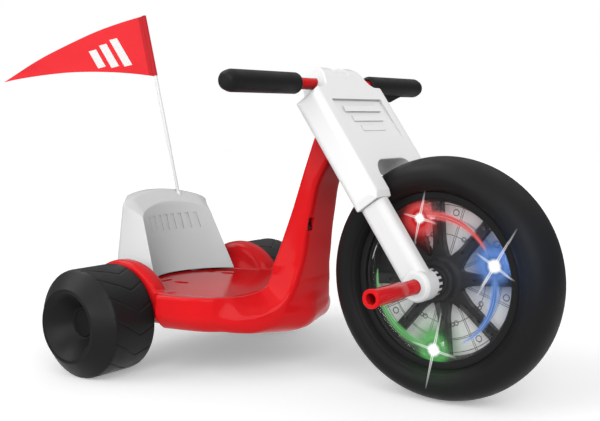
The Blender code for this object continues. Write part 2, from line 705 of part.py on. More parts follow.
# Body: one shell lofted through upright deck sections, a fan round the foot of the neck, and level neck ones
STEER_HEAD_S = 0.2945
HEAD_POINT = FORK.location + Vector((
    -math.sin(FORK_RAKE) * STEER_HEAD_S - math.cos(FORK_RAKE) * STEER_OFFSET, 0,
    math.cos(FORK_RAKE) * STEER_HEAD_S - math.sin(FORK_RAKE) * STEER_OFFSET))
NECK_RUN = 0.1471
PIVOT_Z = DECK_TOP + 0.038
PIVOT_X = HEAD_POINT.x - NECK_RUN
SKIRT_START = REAR_WHEEL_RADIUS + 0.0205
PAN_GAP_Z = BODY_BOTTOM - GAP
AXLE_Z = REAR_WHEEL_RADIUS
BOSS_RADIUS_REAR = 0.017
BOSS_FACE = BODY_WAIST + 0.0008
BOSS_ROOT = BODY_WAIST - 0.035
BUSH_OUTER_REAR = 0.0115
SLEEVE_RADIUS = 0.0078
TAB_X = -0.037
TAB_HALF_X = 0.006
TAB_Y = 0.068
TAB_HALF_Y = 0.013
SLOT_PITCH = 0.050
OVAL_X = 0.052
OVAL_HALF_X = 0.017
OVAL_HALF_Y = 0.0095
OVAL_DEPTH = 0.0015

# Each row: share of the way from the skirt to the foot of the neck, half width
SKIRT_PLAN = ((0.0, 0.2035), (0.16, 0.1995), (0.36, 0.1968), (0.60, 0.1930), (0.80, 0.1845))
# Each row: distance forward from the rear axle, half width
TAIL_PLAN = (
    (-1.0, 0.105), (-0.97, 0.132), (-0.89, 0.152), (-0.74, 0.168), (-0.50, 0.178), (-0.2, 1.0), (1.0, 1.0),
)
# Each row: angle, centre depth, then depth and half width of the rim, the side and the outer edge, then the
# keel beyond the outer depth
FAN = (
    (-90, 0.0410, 0.0380, 0.168, 0.080, 0.170, 0.1020, 0.150, 0.0),
    (-78, 0.0415, 0.0395, 0.153, 0.083, 0.154, 0.1060, 0.134, 0.0165),
    (-66, 0.0430, 0.0430, 0.136, 0.087, 0.136, 0.1125, 0.112, 0.0145),
    (-55, 0.0450, 0.0460, 0.106, 0.091, 0.113, 0.1135, 0.088, 0.0165),
    (-45, 0.0460, 0.0455, 0.079, 0.0935, 0.090, 0.1115, 0.066, 0.0150),
    (-34, 0.0452, 0.0415, 0.0640, 0.0930, 0.0725, 0.1015, 0.0600, 0.0110),
    (-22, 0.0442, 0.0392, 0.0600, 0.0905, 0.0625, 0.0970, 0.0530, 0.0030),
    (-8, 0.0440, 0.0388, 0.0570, 0.0890, 0.0560, 0.0955, 0.0490, 0.0),
)
# Each row: share of the height to the head, rear and front faces off the neck's line, half widths, dish
NECK = (
    (0.045, 0.0394, 0.0924, 0.0570, 0.0480, 0.0042),
    (0.157, 0.0294, 0.0804, 0.0505, 0.0460, 0.0030),
    (0.3145, 0.0157, 0.0617, 0.0455, 0.0440, 0.0014),
    (0.494, 0.0018, 0.0433, 0.0420, 0.0410, 0.0),
    (0.674, -0.0131, 0.0254, 0.0395, 0.0380, -0.0012),
    (0.8086, -0.0244, 0.0191, 0.0375, 0.0345, -0.0022),
    (0.943, -0.0352, 0.0120, 0.0350, 0.0280, -0.0030),
    (1.078, -0.0461, -0.0120, 0.0310, 0.0240, -0.0036),
    (1.150, -0.0500, -0.0260, 0.0240, 0.0180, -0.0040),
)


def body_ring(origin, degrees, centre, rim, rim_w, side, side_w, out, out_w, keel, wall):
    """Closed section of the body in the plane through origin, from the top or rear face to the far one.

    Depths run along the given direction, widths along Y; wall pulls every face inward.
    """
    angle = math.radians(degrees)
    direction = Vector((math.cos(angle), 0, math.sin(angle)))
    lip = min(0.034, 0.55 * rim_w)
    half = [
        (0.35 * rim_w, centre), (rim_w - lip, centre), (rim_w - 0.7 * lip, rim + 0.0002),
        (rim_w - 0.0055, rim), (rim_w - 0.0012, rim + 0.0016), (rim_w, rim + 0.0055),
        (side_w, side), (side_w * 0.35 + out_w * 0.65, side * 0.32 + out * 0.68), (out_w - 0.005, out),
        ((0.12 if keel else 0.4) * out_w, out + keel),
    ]
    if wall:
        middle = (centre + out) / 2
        half = [
            (y - wall * (1.0 if y > 0.4 * rim_w else 0.0), depth + (wall if depth < middle else -wall))
            for y, depth in half
        ]
        half[7] = (half[7][0] - 0.4 * wall, half[7][1] + 0.4 * wall)
    right = [Vector(origin) + direction * depth + Vector((0, -y, 0)) for y, depth in half]
    left = [Vector(origin) + direction * depth + Vector((0, y, 0)) for y, depth in half]
    return right + left[::-1]


def deck_row(width, inset):
    """Depths and widths of a vertical deck section."""
    top = PIVOT_Z - DECK_TOP
    bottom = PIVOT_Z - BODY_BOTTOM
    return (top + DECK_RECESS, top, width, PIVOT_Z - SKIRT_EDGE, width + 0.001, bottom, width - inset, 0.0)


def body_rings(wall):
    rings = []
    for share, width in TAIL_PLAN:
        x = share * (TAIL_LENGTH if share < 0 else SKIRT_START - 0.001)
        width = BODY_WAIST if width == 1.0 else width
        x += wall * (share == -1.0)
        row = deck_row(width, 0.010)
        rings.append(body_ring((x, 0, PIVOT_Z), -90, *row, wall))
    start = SKIRT_START + wall
    for share, width in SKIRT_PLAN:
        x = start + share * (PIVOT_X - start)
        rings.append(body_ring((x, 0, PIVOT_Z), -90, *deck_row(width, 0.020), wall))
    for degrees, *row in FAN:
        rings.append(body_ring((PIVOT_X, 0, PIVOT_Z), degrees, *row, wall))
    rise = HEAD_POINT.z - PIVOT_Z
    for share, rear, front, rear_w, front_w, dish in NECK[:-1] if wall else NECK:
        line = PIVOT_X + share * NECK_RUN
        origin = (0, 0, PIVOT_Z + share * rise)
        rear, front = line + rear, line + front
        depth = front - rear
        side_w = 0.2 * rear_w + 0.8 * front_w
        row = (rear, rear - dish, rear_w, front - 0.16 * depth, side_w, front, front_w - 0.004, 0.0)
        rings.append(body_ring(origin, 0, *row, wall))
    return rings


def fender_profile(wall):
    radius, face = FENDER_RADIUS - wall, BODY_WAIST + 0.0004 - wall
    inner = FENDER_INNER + wall
    return [
        (0, face), (radius - 0.008, face), (radius - 0.003, face - 0.002), (radius, face - 0.008),
        (radius, inner + 0.018), (radius - 0.004, inner + 0.008), (radius - 0.014, inner),
        (radius - 0.030, inner - 0.005), (radius - 0.052, inner - 0.018), (radius - 0.062, inner - 0.045),
        (0, inner - 0.045),
    ]


def body_shell():
    body = lofted("body_shell", body_rings(0.0), "gloss_red", TRIKE)
    cavity = lofted("body_cavity_cut", body_rings(WALL), None, TRIKE)
    below = box("below_fender_cut", (-0.2, -0.3, -0.1), (0.2, 0.3, DECK_TOP - 0.014), None, TRIKE)
    below_room = box("below_room_cut", (-0.2, -0.3, -0.1), (0.2, 0.3, DECK_TOP - 0.014 + WALL), None, TRIKE)
    ahead = (FENDER_AHEAD, 0, 0)
    for name, side in SIDES:
        fender = turned("fender_%s_join" % name, fender_profile(0.0), 24, None, REAR_HUB, side, ahead)
        combine(fender, below, "DIFFERENCE")
        combine(body, fender, "UNION")
        boss = side_rod(
            "axle_boss_%s_join" % name, side, BOSS_ROOT, BOSS_FACE, BOSS_RADIUS_REAR, None, REAR_HUB, 20)
        combine(body, boss, "UNION")
        hollow = turned("fender_%s_cut" % name, fender_profile(WALL), 20, None, REAR_HUB, side, ahead)
        combine(hollow, below_room, "DIFFERENCE")
        combine(cavity, hollow, "UNION")
        keep = side_rod(
            "boss_%s_keep" % name, side, BOSS_ROOT, BOSS_FACE + 0.02, BOSS_RADIUS_REAR, None, REAR_HUB, 20)
        combine(cavity, keep, "DIFFERENCE")
    combine(body, cavity, "DIFFERENCE")
    head = rod("head_tube_join", (0, 0, HEAD_BOTTOM), (0, 0, HEAD_TOP), HEAD_RADIUS, None, STEER, 24)
    combine(body, head, "UNION")
    bore = rod(
        "head_bore_cut", (0, 0, HEAD_BOTTOM - 0.02), (0, 0, HEAD_TOP + 0.02),
        BUSH_RADIUS + GAP, None, STEER, 24)
    combine(body, bore, "DIFFERENCE")
    bush_hole = rod(
        "axle_bush_cut", (0, -BODY_WAIST - 0.02, 0), (0, BODY_WAIST + 0.02, 0),
        BUSH_OUTER_REAR + GAP, None, REAR_HUB, 24)
    combine(body, bush_hole, "DIFFERENCE")
    low, high = pan_opening(0.0)
    above_floor = BODY_BOTTOM + WALL + 0.004
    combine(body, box("belly_cut", (*low, 0.05), (*high, above_floor), None, TRIKE), "DIFFERENCE")
    for name, side in SIDES:
        for index in range(2):
            x = TAB_X + index * SLOT_PITCH
            grow = RUNNING_GAP
            low = (x - TAB_HALF_X - grow, side * TAB_Y - TAB_HALF_Y - grow, DECK_TOP - 0.03)
            high = (x + TAB_HALF_X + grow, side * TAB_Y + TAB_HALF_Y + grow, DECK_TOP + 0.02)
            slot = box("slot_%s_%d_cut" % (name, index), low, high, None, TRIKE)
            combine(body, slot, "DIFFERENCE")
        outline = [(OVAL_HALF_X * u, OVAL_HALF_Y * v) for u, v in arc((0, 0), 1.0, 0, 345, 23)[::2]]
        place = Matrix.Translation((OVAL_X, side * TAB_Y, DECK_TOP - DECK_RECESS - OVAL_DEPTH + 0.01))
        oval = extruded("oval_%s_cut" % name, outline, 0.02, None, TRIKE, place)
        combine(body, oval, "DIFFERENCE")
    socket_low, socket_high = charge_place()
    socket_mouth = (socket_high[0] + CHARGE_RECESS, socket_high[1] + GAP, socket_high[2] + GAP)
    combine(body, box("charge_cut", grown(socket_low, -GAP), socket_mouth, None, TRIKE), "DIFFERENCE")
    switch_low, switch_high = switch_place()
    switch_room = box("switch_cut", grown(switch_low, -GAP), grown(switch_high, GAP), None, TRIKE)
    combine(body, switch_room, "DIFFERENCE")


def grown(corner, amount):
    return tuple(value + amount for value in corner)


# What the body holds: belly pan, battery, control box, drive
PAN_FLANGE = 0.009
PAN_WALL = 0.003
PAN_DEPTH = 0.0165
OPEN_REAR = -0.070
OPEN_RIGHT = -0.055
OPEN_LEFT = 0.128
BATTERY_LENGTH = 0.150
BATTERY_WIDTH = 0.085
BATTERY_HEIGHT = 0.056
GEAR_RADIUS = 0.0180
PINION_RADIUS = 0.0068
MESH_GAP = 0.0006
MOTOR_RADIUS = 0.0185
GEARCASE_INNER = 0.084
GEARCASE_OUTER = 0.120
CHARGE_RECESS = 0.020
CHARGE_HOLE_RADIUS = 0.0042


def pan_opening(grow):
    """Corners (x, y) of the opening in the body's floor, which reaches forward with the body."""
    return (OPEN_REAR - grow, OPEN_RIGHT - grow), (PIVOT_X - 0.018 + grow, OPEN_LEFT + grow)


def charge_place():
    """The socket's block, let into the front face of the neck near its right edge."""
    z = PIVOT_Z + 0.386 * (HEAD_POINT.z - PIVOT_Z)
    x = PIVOT_X + 0.386 * NECK_RUN + 0.0542
    return (x - 0.016, -0.0385, z - 0.011), (x - 0.0035, -0.0255, z + 0.011)


def switch_place():
    """The switch's block, let into the left side of the neck."""
    z = PIVOT_Z + 0.26 * (HEAD_POINT.z - PIVOT_Z)
    x = PIVOT_X + 0.26 * NECK_RUN + 0.043
    return (x - 0.0105, 0.030, z - 0.0075), (x + 0.0105, 0.0525, z + 0.0075)


def belly_pan():
    low, high = pan_opening(-GAP)
    flange_low, flange_high = pan_opening(PAN_FLANGE)
    flange_low, flange_high = (*flange_low, PAN_GAP_Z - PAN_WALL), (*flange_high, PAN_GAP_Z)
    pan = box("belly_pan", flange_low, flange_high, "black_plastic", TRIKE)
    tray = box("pan_tray_join", (*low, BODY_BOTTOM - PAN_DEPTH), (*high, PAN_GAP_Z - 0.001), None, TRIKE)
    combine(pan, tray, "UNION")
    inner_low, inner_high = pan_opening(-GAP - PAN_WALL)
    inner_low = (*inner_low, BODY_BOTTOM - PAN_DEPTH + PAN_WALL)
    inside = box("pan_inside_cut", inner_low, (*inner_high, 0.2), None, TRIKE)
    combine(pan, inside, "DIFFERENCE")


def electrics():
    floor = BODY_BOTTOM - PAN_DEPTH + PAN_WALL + GAP
    right = OPEN_RIGHT + PAN_WALL + 0.002
    front = pan_opening(0.0)[1][0] - PAN_WALL - 0.001
    low = (front - BATTERY_WIDTH, right, floor)
    high = (front, right + BATTERY_LENGTH, floor + BATTERY_HEIGHT)
    box("battery_pack", low, high, "dark_grey_plastic", TRIKE, 0.003, 1)
    back = front - BATTERY_WIDTH - 0.006
    low, high = (back - 0.032, right, floor), (back, right + 0.060, floor + 0.024)
    box("control_box", low, high, "black_plastic", TRIKE, 0.002, 1)
    low, high = charge_place()
    socket = box("charge_socket", low, high, "black_plastic", TRIKE, 0.001, 1)
    middle_y, middle_z = (low[1] + high[1]) / 2, (low[2] + high[2]) / 2
    start, end = (high[0] - 0.008, middle_y, middle_z), (high[0] + 0.01, middle_y, middle_z)
    hole = rod("charge_hole_cut", start, end, CHARGE_HOLE_RADIUS, None, TRIKE, 16)
    combine(socket, hole, "DIFFERENCE")
    low, high = switch_place()
    frame = box("switch_frame", low, high, "black_plastic", TRIKE, 0.0008, 1)
    well_low = (low[0] + 0.002, high[1] - 0.009, low[2] + 0.002)
    well_high = (high[0] - 0.002, high[1] + 0.01, high[2] - 0.002)
    combine(frame, box("switch_well_cut", well_low, well_high, None, TRIKE), "DIFFERENCE")
    middle = ((low[0] + high[0]) / 2, high[1] - 0.0035, (low[2] + high[2]) / 2)
    rocker(middle, (high[0] - low[0]) / 2 - 0.0029, (high[2] - low[2]) / 2 - 0.0024)


def rocker(pivot, half_length, half_width):
    """Seesaw key of the power switch, turning about a vertical line in its frame."""
    axis = empty("switch_axis", pivot, parent=TRIKE)
    outline = [
        (-half_length, 0.0010), (-half_length + 0.0012, 0.0026), (0, 0.0018),
        (half_length - 0.0012, 0.0026), (half_length, 0.0010), (half_length - 0.0012, -0.0022),
        (0, -0.0048), (-half_length + 0.0012, -0.0022),
    ]
    extruded("switch_rocker", outline, 2 * half_width, "gloss_red", axis, Matrix.Identity(4))


def rear_drive():
    """Motor beside the axle, its pinion and the gear on the left wheel's sleeve in an open-faced case."""
    centre = GEAR_RADIUS + PINION_RADIUS + MESH_GAP
    floor = BODY_BOTTOM - PAN_DEPTH + PAN_WALL + GAP - AXLE_Z
    wall = 0.003
    shaft = SLEEVE_RADIUS + RUNNING_GAP
    low = (-GEAR_RADIUS - wall - 0.001, GEARCASE_INNER + wall + GAP, floor)
    high = (centre + MOTOR_RADIUS + wall, GEARCASE_OUTER, GEAR_RADIUS + wall + 0.004)
    case = box("gear_case", low, high, "dark_grey_plastic", REAR_HUB, 0.002, 1)
    end = GEARCASE_OUTER - wall
    inside = rod("gear_room_cut", (0, 0, 0), (0, end, 0), GEAR_RADIUS + 0.0010, None, REAR_HUB, 28)
    combine(case, inside, "DIFFERENCE")
    side_room = rod(
        "pinion_room_cut", (centre, 0, 0), (centre, end, 0), PINION_RADIUS + 0.003, None, REAR_HUB, 20)
    combine(case, side_room, "DIFFERENCE")
    hole = rod("sleeve_hole_cut", (0, 0, 0), (0, 0.2, 0), shaft, None, REAR_HUB, 24)
    combine(case, hole, "DIFFERENCE")
    plate_low = (low[0], GEARCASE_INNER, low[2])
    plate_high = (high[0], GEARCASE_INNER + wall, high[2])
    plate = box("gear_case_cover", plate_low, plate_high, "dark_grey_plastic", REAR_HUB)
    hole = rod("cover_hole_cut", (0, 0, 0), (0, 0.2, 0), AXLE_RADIUS + GAP, None, REAR_HUB, 24)
    combine(plate, hole, "DIFFERENCE")
    neck = 0.004
    hole = rod("shaft_hole_cut", (centre, 0, 0), (centre, 0.2, 0), neck + GAP, None, REAR_HUB, 16)
    combine(plate, hole, "DIFFERENCE")
    start, end = (centre, 0.022, 0), (centre, GEARCASE_INNER - GAP, 0)
    motor = rod("drive_motor", start, end, MOTOR_RADIUS, "steel", REAR_HUB, 24)
    shaft_room = rod("motor_shaft_cut", (centre, 0.06, 0), (centre, 0.2, 0), neck + GAP, None, REAR_HUB, 16)
    combine(motor, shaft_room, "DIFFERENCE")
    start = GEARCASE_INNER + wall + 0.002
    profile = [
        (0, start + 0.012), (PINION_RADIUS, start + 0.012), (PINION_RADIUS, start), (neck, start),
        (neck, 0.062), (0, 0.062),
    ]
    turned("motor_pinion", profile, 20, "steel", REAR_HUB, side=1, at=(centre, 0, 0))
    gear = [
        (GEAR_RADIUS, start + 0.010), (GEAR_RADIUS, start),
        (SLEEVE_RADIUS + GAP, start), (SLEEVE_RADIUS + GAP, start + 0.010),
    ]
    turned("drive_gear", gear, 28, "pale_grey_plastic", REAR_HUB, side=1)
    bore = AXLE_RADIUS + GAP
    sleeve = [
        (SLEEVE_RADIUS, REAR_SLEEVE_END), (SLEEVE_RADIUS, start), (bore, start), (bore, REAR_SLEEVE_END),
    ]
    turned("drive_sleeve", sleeve, 16, "steel", REAR_HUB, side=1)


# Rear wheels: hollow drums with a dished outer face
REAR_STEPS = 24
REAR_FACE = REAR_TREAD_OUTER - REAR_TREAD_WIDTH
REAR_SLEEVE_END = REAR_FACE + 0.016
DRUM_WALL = 0.0045
HUB_TUBE = 0.0145
DISH_FLOOR = REAR_LIP_OUTER - DISH_DEPTH - 0.007
DISH_WALL = 0.0025
DISH_EDGE = 0.0625
DISH_FOOT = 0.0278
HUB_FLAT = 0.0245
WELL_FLOOR = DISH_FLOOR - 0.0085
CAP_WALL = 0.0022
AXLE_END = WELL_FLOOR + 0.0060
NUT_OUTER = 0.011
WASHER_RADIUS = 0.016


def rear_wheels():
    tread, lip = REAR_WHEEL_RADIUS, REAR_LIP_RADIUS
    hub_end = WELL_FLOOR - DISH_WALL - GAP
    well = HUB_FLAT + GAP
    for name, side in SIDES:
        bore = AXLE_RADIUS + GAP
        sleeve = SLEEVE_RADIUS + GAP if side > 0 else bore
        stop = REAR_SLEEVE_END + GAP if side > 0 else REAR_FACE + 0.012
        drum = [
            (lip - 0.0010, REAR_LIP_OUTER), (lip, REAR_LIP_OUTER - 0.001),
            (tread - 0.0045, REAR_TREAD_OUTER + 0.002), (tread - 0.0008, REAR_TREAD_OUTER - 0.002),
            (tread, REAR_TREAD_OUTER - 0.006), (tread, REAR_FACE + 0.003), (tread - 0.003, REAR_FACE),
            (sleeve, REAR_FACE), (sleeve, stop), (bore, stop), (bore, hub_end), (HUB_TUBE, hub_end),
            (HUB_TUBE, REAR_FACE + DRUM_WALL), (tread - DRUM_WALL, REAR_FACE + DRUM_WALL),
            (tread - DRUM_WALL, REAR_TREAD_OUTER - 0.003), (DISH_EDGE + GAP, REAR_LIP_OUTER - DRUM_WALL),
            (DISH_EDGE + GAP, REAR_LIP_OUTER),
        ]
        turned("rear_wheel_" + name, drum, REAR_STEPS, "black_plastic", REAR_HUB, side=side)
        floor = WELL_FLOOR
        dish = [
            (DISH_EDGE, REAR_LIP_OUTER), (DISH_EDGE, REAR_LIP_OUTER - 0.003),
            (DISH_EDGE - 0.009, REAR_LIP_OUTER - 0.011), (well + DISH_WALL, DISH_FLOOR - DISH_WALL),
            (well + DISH_WALL, floor - DISH_WALL), (bore, floor - DISH_WALL), (bore, floor), (well, floor),
            (well, DISH_FLOOR), (DISH_FOOT, DISH_FLOOR),
            (DISH_EDGE - 0.011, REAR_LIP_OUTER - 0.009), (DISH_EDGE - 0.0022, REAR_LIP_OUTER),
        ]
        turned("rear_dish_" + name, dish, REAR_STEPS, "black_plastic", REAR_HUB, side=side)
        nut_end = AXLE_END - 0.0005
        nut = [(NUT_OUTER, nut_end), (NUT_OUTER, floor + GAP), (bore, floor + GAP), (bore, nut_end)]
        turned("axle_nut_" + name, nut, 12, "steel", REAR_HUB, side=side)
        cap = [
            (0, DISH_FLOOR + 0.0008), (HUB_FLAT - 0.0015, DISH_FLOOR + 0.0008),
            (HUB_FLAT, DISH_FLOOR - 0.0004), (HUB_FLAT, floor + GAP), (HUB_FLAT - CAP_WALL, floor + GAP),
            (HUB_FLAT - CAP_WALL, AXLE_END + 0.0008), (0, AXLE_END + 0.0008),
        ]
        turned("hub_cap_" + name, cap, 16, "dark_grey_plastic", REAR_HUB, side=side)
        inner = SLEEVE_RADIUS + GAP if side > 0 else bore
        washer = [
            (WASHER_RADIUS, REAR_FACE - GAP), (WASHER_RADIUS, BOSS_FACE + GAP),
            (inner, BOSS_FACE + GAP), (inner, REAR_FACE - GAP),
        ]
        turned("wheel_washer_" + name, washer, 16, "steel", REAR_HUB, side=side)
        bush = [
            (BUSH_OUTER_REAR, BODY_WAIST - 0.0005), (BUSH_OUTER_REAR, BODY_WAIST - 0.030),
            (inner, BODY_WAIST - 0.030), (inner, BODY_WAIST - 0.0005),
        ]
        turned("axle_bush_" + name, bush, 16, "pale_grey_plastic", REAR_HUB, side=side)
    rod("rear_axle", (0, -AXLE_END, 0), (0, AXLE_END, 0), AXLE_RADIUS, "steel", REAR_HUB, 20)


# Seat back: flaring hollow shell with a concave front, a domed top and two tabs into the deck
SEAT_FLOOR = DECK_TOP + GAP
SEAT_REAR = -0.092
RIDGE_FROM = 0.285
RIDGE_BACK = 0.0285
BAND_SLOPE = 0.93
MARK_Z = 0.253
MARK_PITCH = 0.0185


def seat_ring(z, wall):
    """Level section of the seat back: concave front, flaring sides, gently round rear."""
    rise = z - DECK_TOP
    front_x, front_y = 0.030 - 0.42 * rise, 0.114 - 0.152 * rise
    hollow = max(0.016, 0.061 - 0.32 * rise)
    rear_x, rear_y = -0.0625 + 0.07 * (rise - 0.038), 0.125 - 0.085 * (rise - 0.038)
    radius = (front_y ** 2 + hollow ** 2) / (2 * hollow)
    front = []
    for step in range(9):
        y = front_y * (-1 + step / 4) * (1 - wall / front_y * 1.4)
        depth = hollow - radius + math.sqrt(radius ** 2 - y ** 2)
        front.append((front_x - depth - wall, y))
    if wall:
        corner = [(rear_x + wall, rear_y - wall * 1.2)]
    else:
        corner = [
            (rear_x + 0.006, rear_y - 0.0008), (rear_x - 0.003, rear_y - 0.004),
            (rear_x - 0.008, rear_y - 0.012),
        ]
    back = [(SEAT_REAR + wall, 0.6 * rear_y), (SEAT_REAR - 0.006 + wall, 0)]
    left = corner + [back[0]]
    ring = front + left + [back[1]] + [(x, -y) for x, y in reversed(left)]
    return [(x, y, z) for x, y in ring]


def seat_face_x(z, y):
    """Where the concave front face lies at a height and a distance from the middle."""
    rise = z - DECK_TOP
    front_x, front_y = 0.030 - 0.42 * rise, 0.114 - 0.152 * rise
    hollow = max(0.016, 0.061 - 0.32 * rise)
    radius = (front_y ** 2 + hollow ** 2) / (2 * hollow)
    return front_x - (hollow - radius + math.sqrt(radius ** 2 - y ** 2))


def above_seat(name, drop):
    """Block above the top, lowered by drop: crowned ridge, steep band ahead of it, gentle fall behind."""
    rings = []
    for step in range(9):
        y = -0.14 + 0.035 * step
        ridge = seat_face_x(RIDGE_FROM, min(max(y, -0.09), 0.09)) - RIDGE_BACK
        crown = SEAT_TOP + SEAT_DOME * (1 - (y / 0.116) ** 2)
        profile = (
            (-0.09, -0.0035), (-0.03, -0.0020), (-0.012, -0.0004), (0.0, 0.0), (0.004, -0.0022),
            (0.14, -BAND_SLOPE * 0.14),
        )
        ring = [(ridge + ahead, y, crown + rise - drop) for ahead, rise in profile]
        rings.append(ring + [(0.12, y, 0.5), (-0.16, y, 0.5)])
    return lofted(name, rings, None, TRIKE)


def seat_back():
    tall = SEAT_TOP - DECK_TOP
    shares = (0.154, 0.355, 0.555, 0.756, 0.923, 1.291)
    heights = [SEAT_FLOOR] + [DECK_TOP + share * tall for share in shares]
    seat = lofted("seat_back", [seat_ring(z, 0.0) for z in heights], "white_plastic", TRIKE)
    combine(seat, above_seat("seat_above_cut", 0.0), "DIFFERENCE")
    inside_heights = [SEAT_FLOOR + SEAT_WALL] + heights[1:]
    hollow = lofted("seat_hollow_cut", [seat_ring(z, SEAT_WALL) for z in inside_heights], None, TRIKE)
    combine(hollow, above_seat("seat_above_low_cut", SEAT_WALL * 1.3), "DIFFERENCE")
    combine(seat, hollow, "DIFFERENCE")
    window = box("seat_floor_cut", (-0.082, -0.045, 0.12), (-0.045, 0.045, SEAT_FLOOR + 0.012), None, TRIKE)
    combine(seat, window, "DIFFERENCE")
    for name, side in SIDES:
        low = (TAB_X - TAB_HALF_X, side * TAB_Y - TAB_HALF_Y, DECK_TOP - 0.017)
        high = (TAB_X + TAB_HALF_X, side * TAB_Y + TAB_HALF_Y, SEAT_FLOOR + 0.001)
        combine(seat, box("seat_tab_%s_join" % name, low, high, None, TRIKE), "UNION")
    hole = rod("pole_hole_cut", (0, 0, -0.03), (0, 0, 0.05), GROMMET_RADIUS + GAP, None, POLE, 24)
    combine(seat, hole, "DIFFERENCE")
    for index in range(8):
        y = MARK_PITCH * (index - 3.5)
        lean = math.atan((seat_face_x(MARK_Z + 0.01, y) - seat_face_x(MARK_Z - 0.01, y)) / 0.02)
        turn = math.atan((seat_face_x(MARK_Z, y + 0.004) - seat_face_x(MARK_Z, y - 0.004)) / 0.008)
        outline = [(-0.0010, -0.016), (0.0070, -0.016), (0.0010, 0.016), (-0.0070, 0.016)]
        facing = Matrix(((0, 0, 1, 0), (1, 0, 0, 0), (0, 1, 0, 0), (0, 0, 0, 1)))
        place = Matrix.Translation((seat_face_x(MARK_Z, y), y, MARK_Z)) @ Matrix.Rotation(lean, 4, "Y")
        place = place @ Matrix.Rotation(-turn, 4, "Z")
        slot = extruded("seat_mark_%d_cut" % index, outline, 0.0032, None, TRIKE, place @ facing)
        combine(seat, slot, "DIFFERENCE")


# Pole and pennant
GROMMET_RADIUS = 0.0054


def pole_and_flag():
    rod("flag_pole", (0, 0, -POLE_IN_SEAT), (0, 0, POLE_ABOVE_SEAT), POLE_RADIUS, "glass_fibre", POLE, 12)
    bore = POLE_RADIUS + GAP
    top, foot = -0.0025, -0.040
    profile = [(GROMMET_RADIUS, top), (GROMMET_RADIUS, foot), (bore, foot), (bore, top)]
    turned("pole_grommet", profile, 12, "white_plastic", POLE)
    middle = POLE_ABOVE_SEAT - FLAG_HOIST / 2
    half = FLAG_HOIST / 2
    inner, outer = bore, bore + FLAG_THICKNESS
    top, low = middle + half, middle - half
    sleeve = [(outer, top), (outer, low), (inner, low), (inner, top)]
    flag = turned("flag", sleeve, 16, "flag_cloth", POLE)
    start = (inner + outer) / 2
    shares = (0, 0.12, 0.25, 0.38, 0.5, 0.62, 0.75, 0.88)
    reach = FLAG_LENGTH - start
    middle_line = [(start + reach * t, FLAG_BOW * 4 * t * (1 - t), half * (1 - t)) for t in shares]
    upper = [(u, bow + v) for u, bow, v in middle_line]
    lower = [(u, bow - v) for u, bow, v in middle_line]
    outline = upper + [(FLAG_LENGTH, 0.0)] + lower[::-1]
    along = Vector((-math.cos(FLAG_SWING), -math.sin(FLAG_SWING), 0))
    across = Vector((-along.y, along.x, 0))
    matrix = Matrix.Translation((0, 0, middle)) @ Matrix((
        (along.x, 0, across.x, 0), (along.y, 0, across.y, 0), (0, 1, 0, 0), (0, 0, 0, 1)))
    combine(flag, extruded("pennant_join", outline, FLAG_THICKNESS, None, POLE, matrix), "UNION")


front_tyre()
wheel_halves()
light_board()
lamps_and_pack()
wheel_covers()
front_bearings()
front_axle()
foot_pegs()
fork_legs()
fork_crown()
steering_parts()
handlebar()
grips()
throttle()
body_shell()
belly_pan()
electrics()
rear_drive()
rear_wheels()
seat_back()
pole_and_flag()
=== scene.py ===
"""Electric ride-on trike on a white floor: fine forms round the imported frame, finishes, lights and camera."""
import json
from math import asin, atan, cos, degrees, pi, radians, sin, sqrt

import bmesh
import bpy
import numpy as np
from mathutils import Matrix, Vector


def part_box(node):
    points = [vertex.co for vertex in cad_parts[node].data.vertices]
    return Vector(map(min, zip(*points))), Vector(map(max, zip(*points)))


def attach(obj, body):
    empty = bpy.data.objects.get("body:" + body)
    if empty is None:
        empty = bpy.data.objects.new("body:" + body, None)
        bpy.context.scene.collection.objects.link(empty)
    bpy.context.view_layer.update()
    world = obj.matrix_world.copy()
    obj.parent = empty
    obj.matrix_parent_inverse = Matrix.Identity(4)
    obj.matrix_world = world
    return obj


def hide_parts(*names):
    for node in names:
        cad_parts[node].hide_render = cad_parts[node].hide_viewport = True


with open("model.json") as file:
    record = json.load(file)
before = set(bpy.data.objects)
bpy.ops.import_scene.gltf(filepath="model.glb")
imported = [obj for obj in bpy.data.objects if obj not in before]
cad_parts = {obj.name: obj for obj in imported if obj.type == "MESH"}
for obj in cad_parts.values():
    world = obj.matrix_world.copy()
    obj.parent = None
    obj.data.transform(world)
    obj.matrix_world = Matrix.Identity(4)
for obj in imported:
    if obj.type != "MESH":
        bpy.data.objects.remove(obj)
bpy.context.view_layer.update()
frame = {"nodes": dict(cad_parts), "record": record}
scene = bpy.context.scene

# Sizes shared with the solids, in metres
WHEELBASE = 0.577
TYRE_RADIUS = 0.2
TYRE_HALF = 0.053
RIM_RADIUS = 0.1437
RIM_HALF = 0.0325
SPOKES = 8
SPOKE_PHASE = 4.5
SPOKE_HALF = 0.0085
AXLE_BORE = 0.0053
FORK_RAKE = radians(35.0)
STEER_OFFSET = 0.05
CROWN_HALF_WIDTH = 0.106
CROWN_HALF_DEPTH = 0.0266
CROWN_SHOULDER = 0.365
CROWN_INNER = 0.059
COLLAR_HEIGHT = 0.15
LEG_INNER = 0.066
LEG_OUTER = 0.0965
LEG_HALF_DEPTH = 0.0235
LEG_STEP = 0.0035
BOSS_RADIUS = 0.0255
STEM_RADIUS = 0.008
BAR_HEIGHT = 0.388
BAR_RADIUS = 0.0099
GRIP_RADIUS = 0.0178
PEG_RADIUS = 0.0148
PEG_ROOT = 0.0119
DECK_TOP = 0.152
DECK_RECESS = 0.003
BODY_BOTTOM = 0.088
SKIRT_EDGE = 0.111
BODY_WAIST = 0.18
FENDER_RADIUS = 0.1035
FENDER_AHEAD = 0.006
FENDER_INNER = 0.14
SEAT_TOP = 0.2955
SEAT_DOME = 0.0225
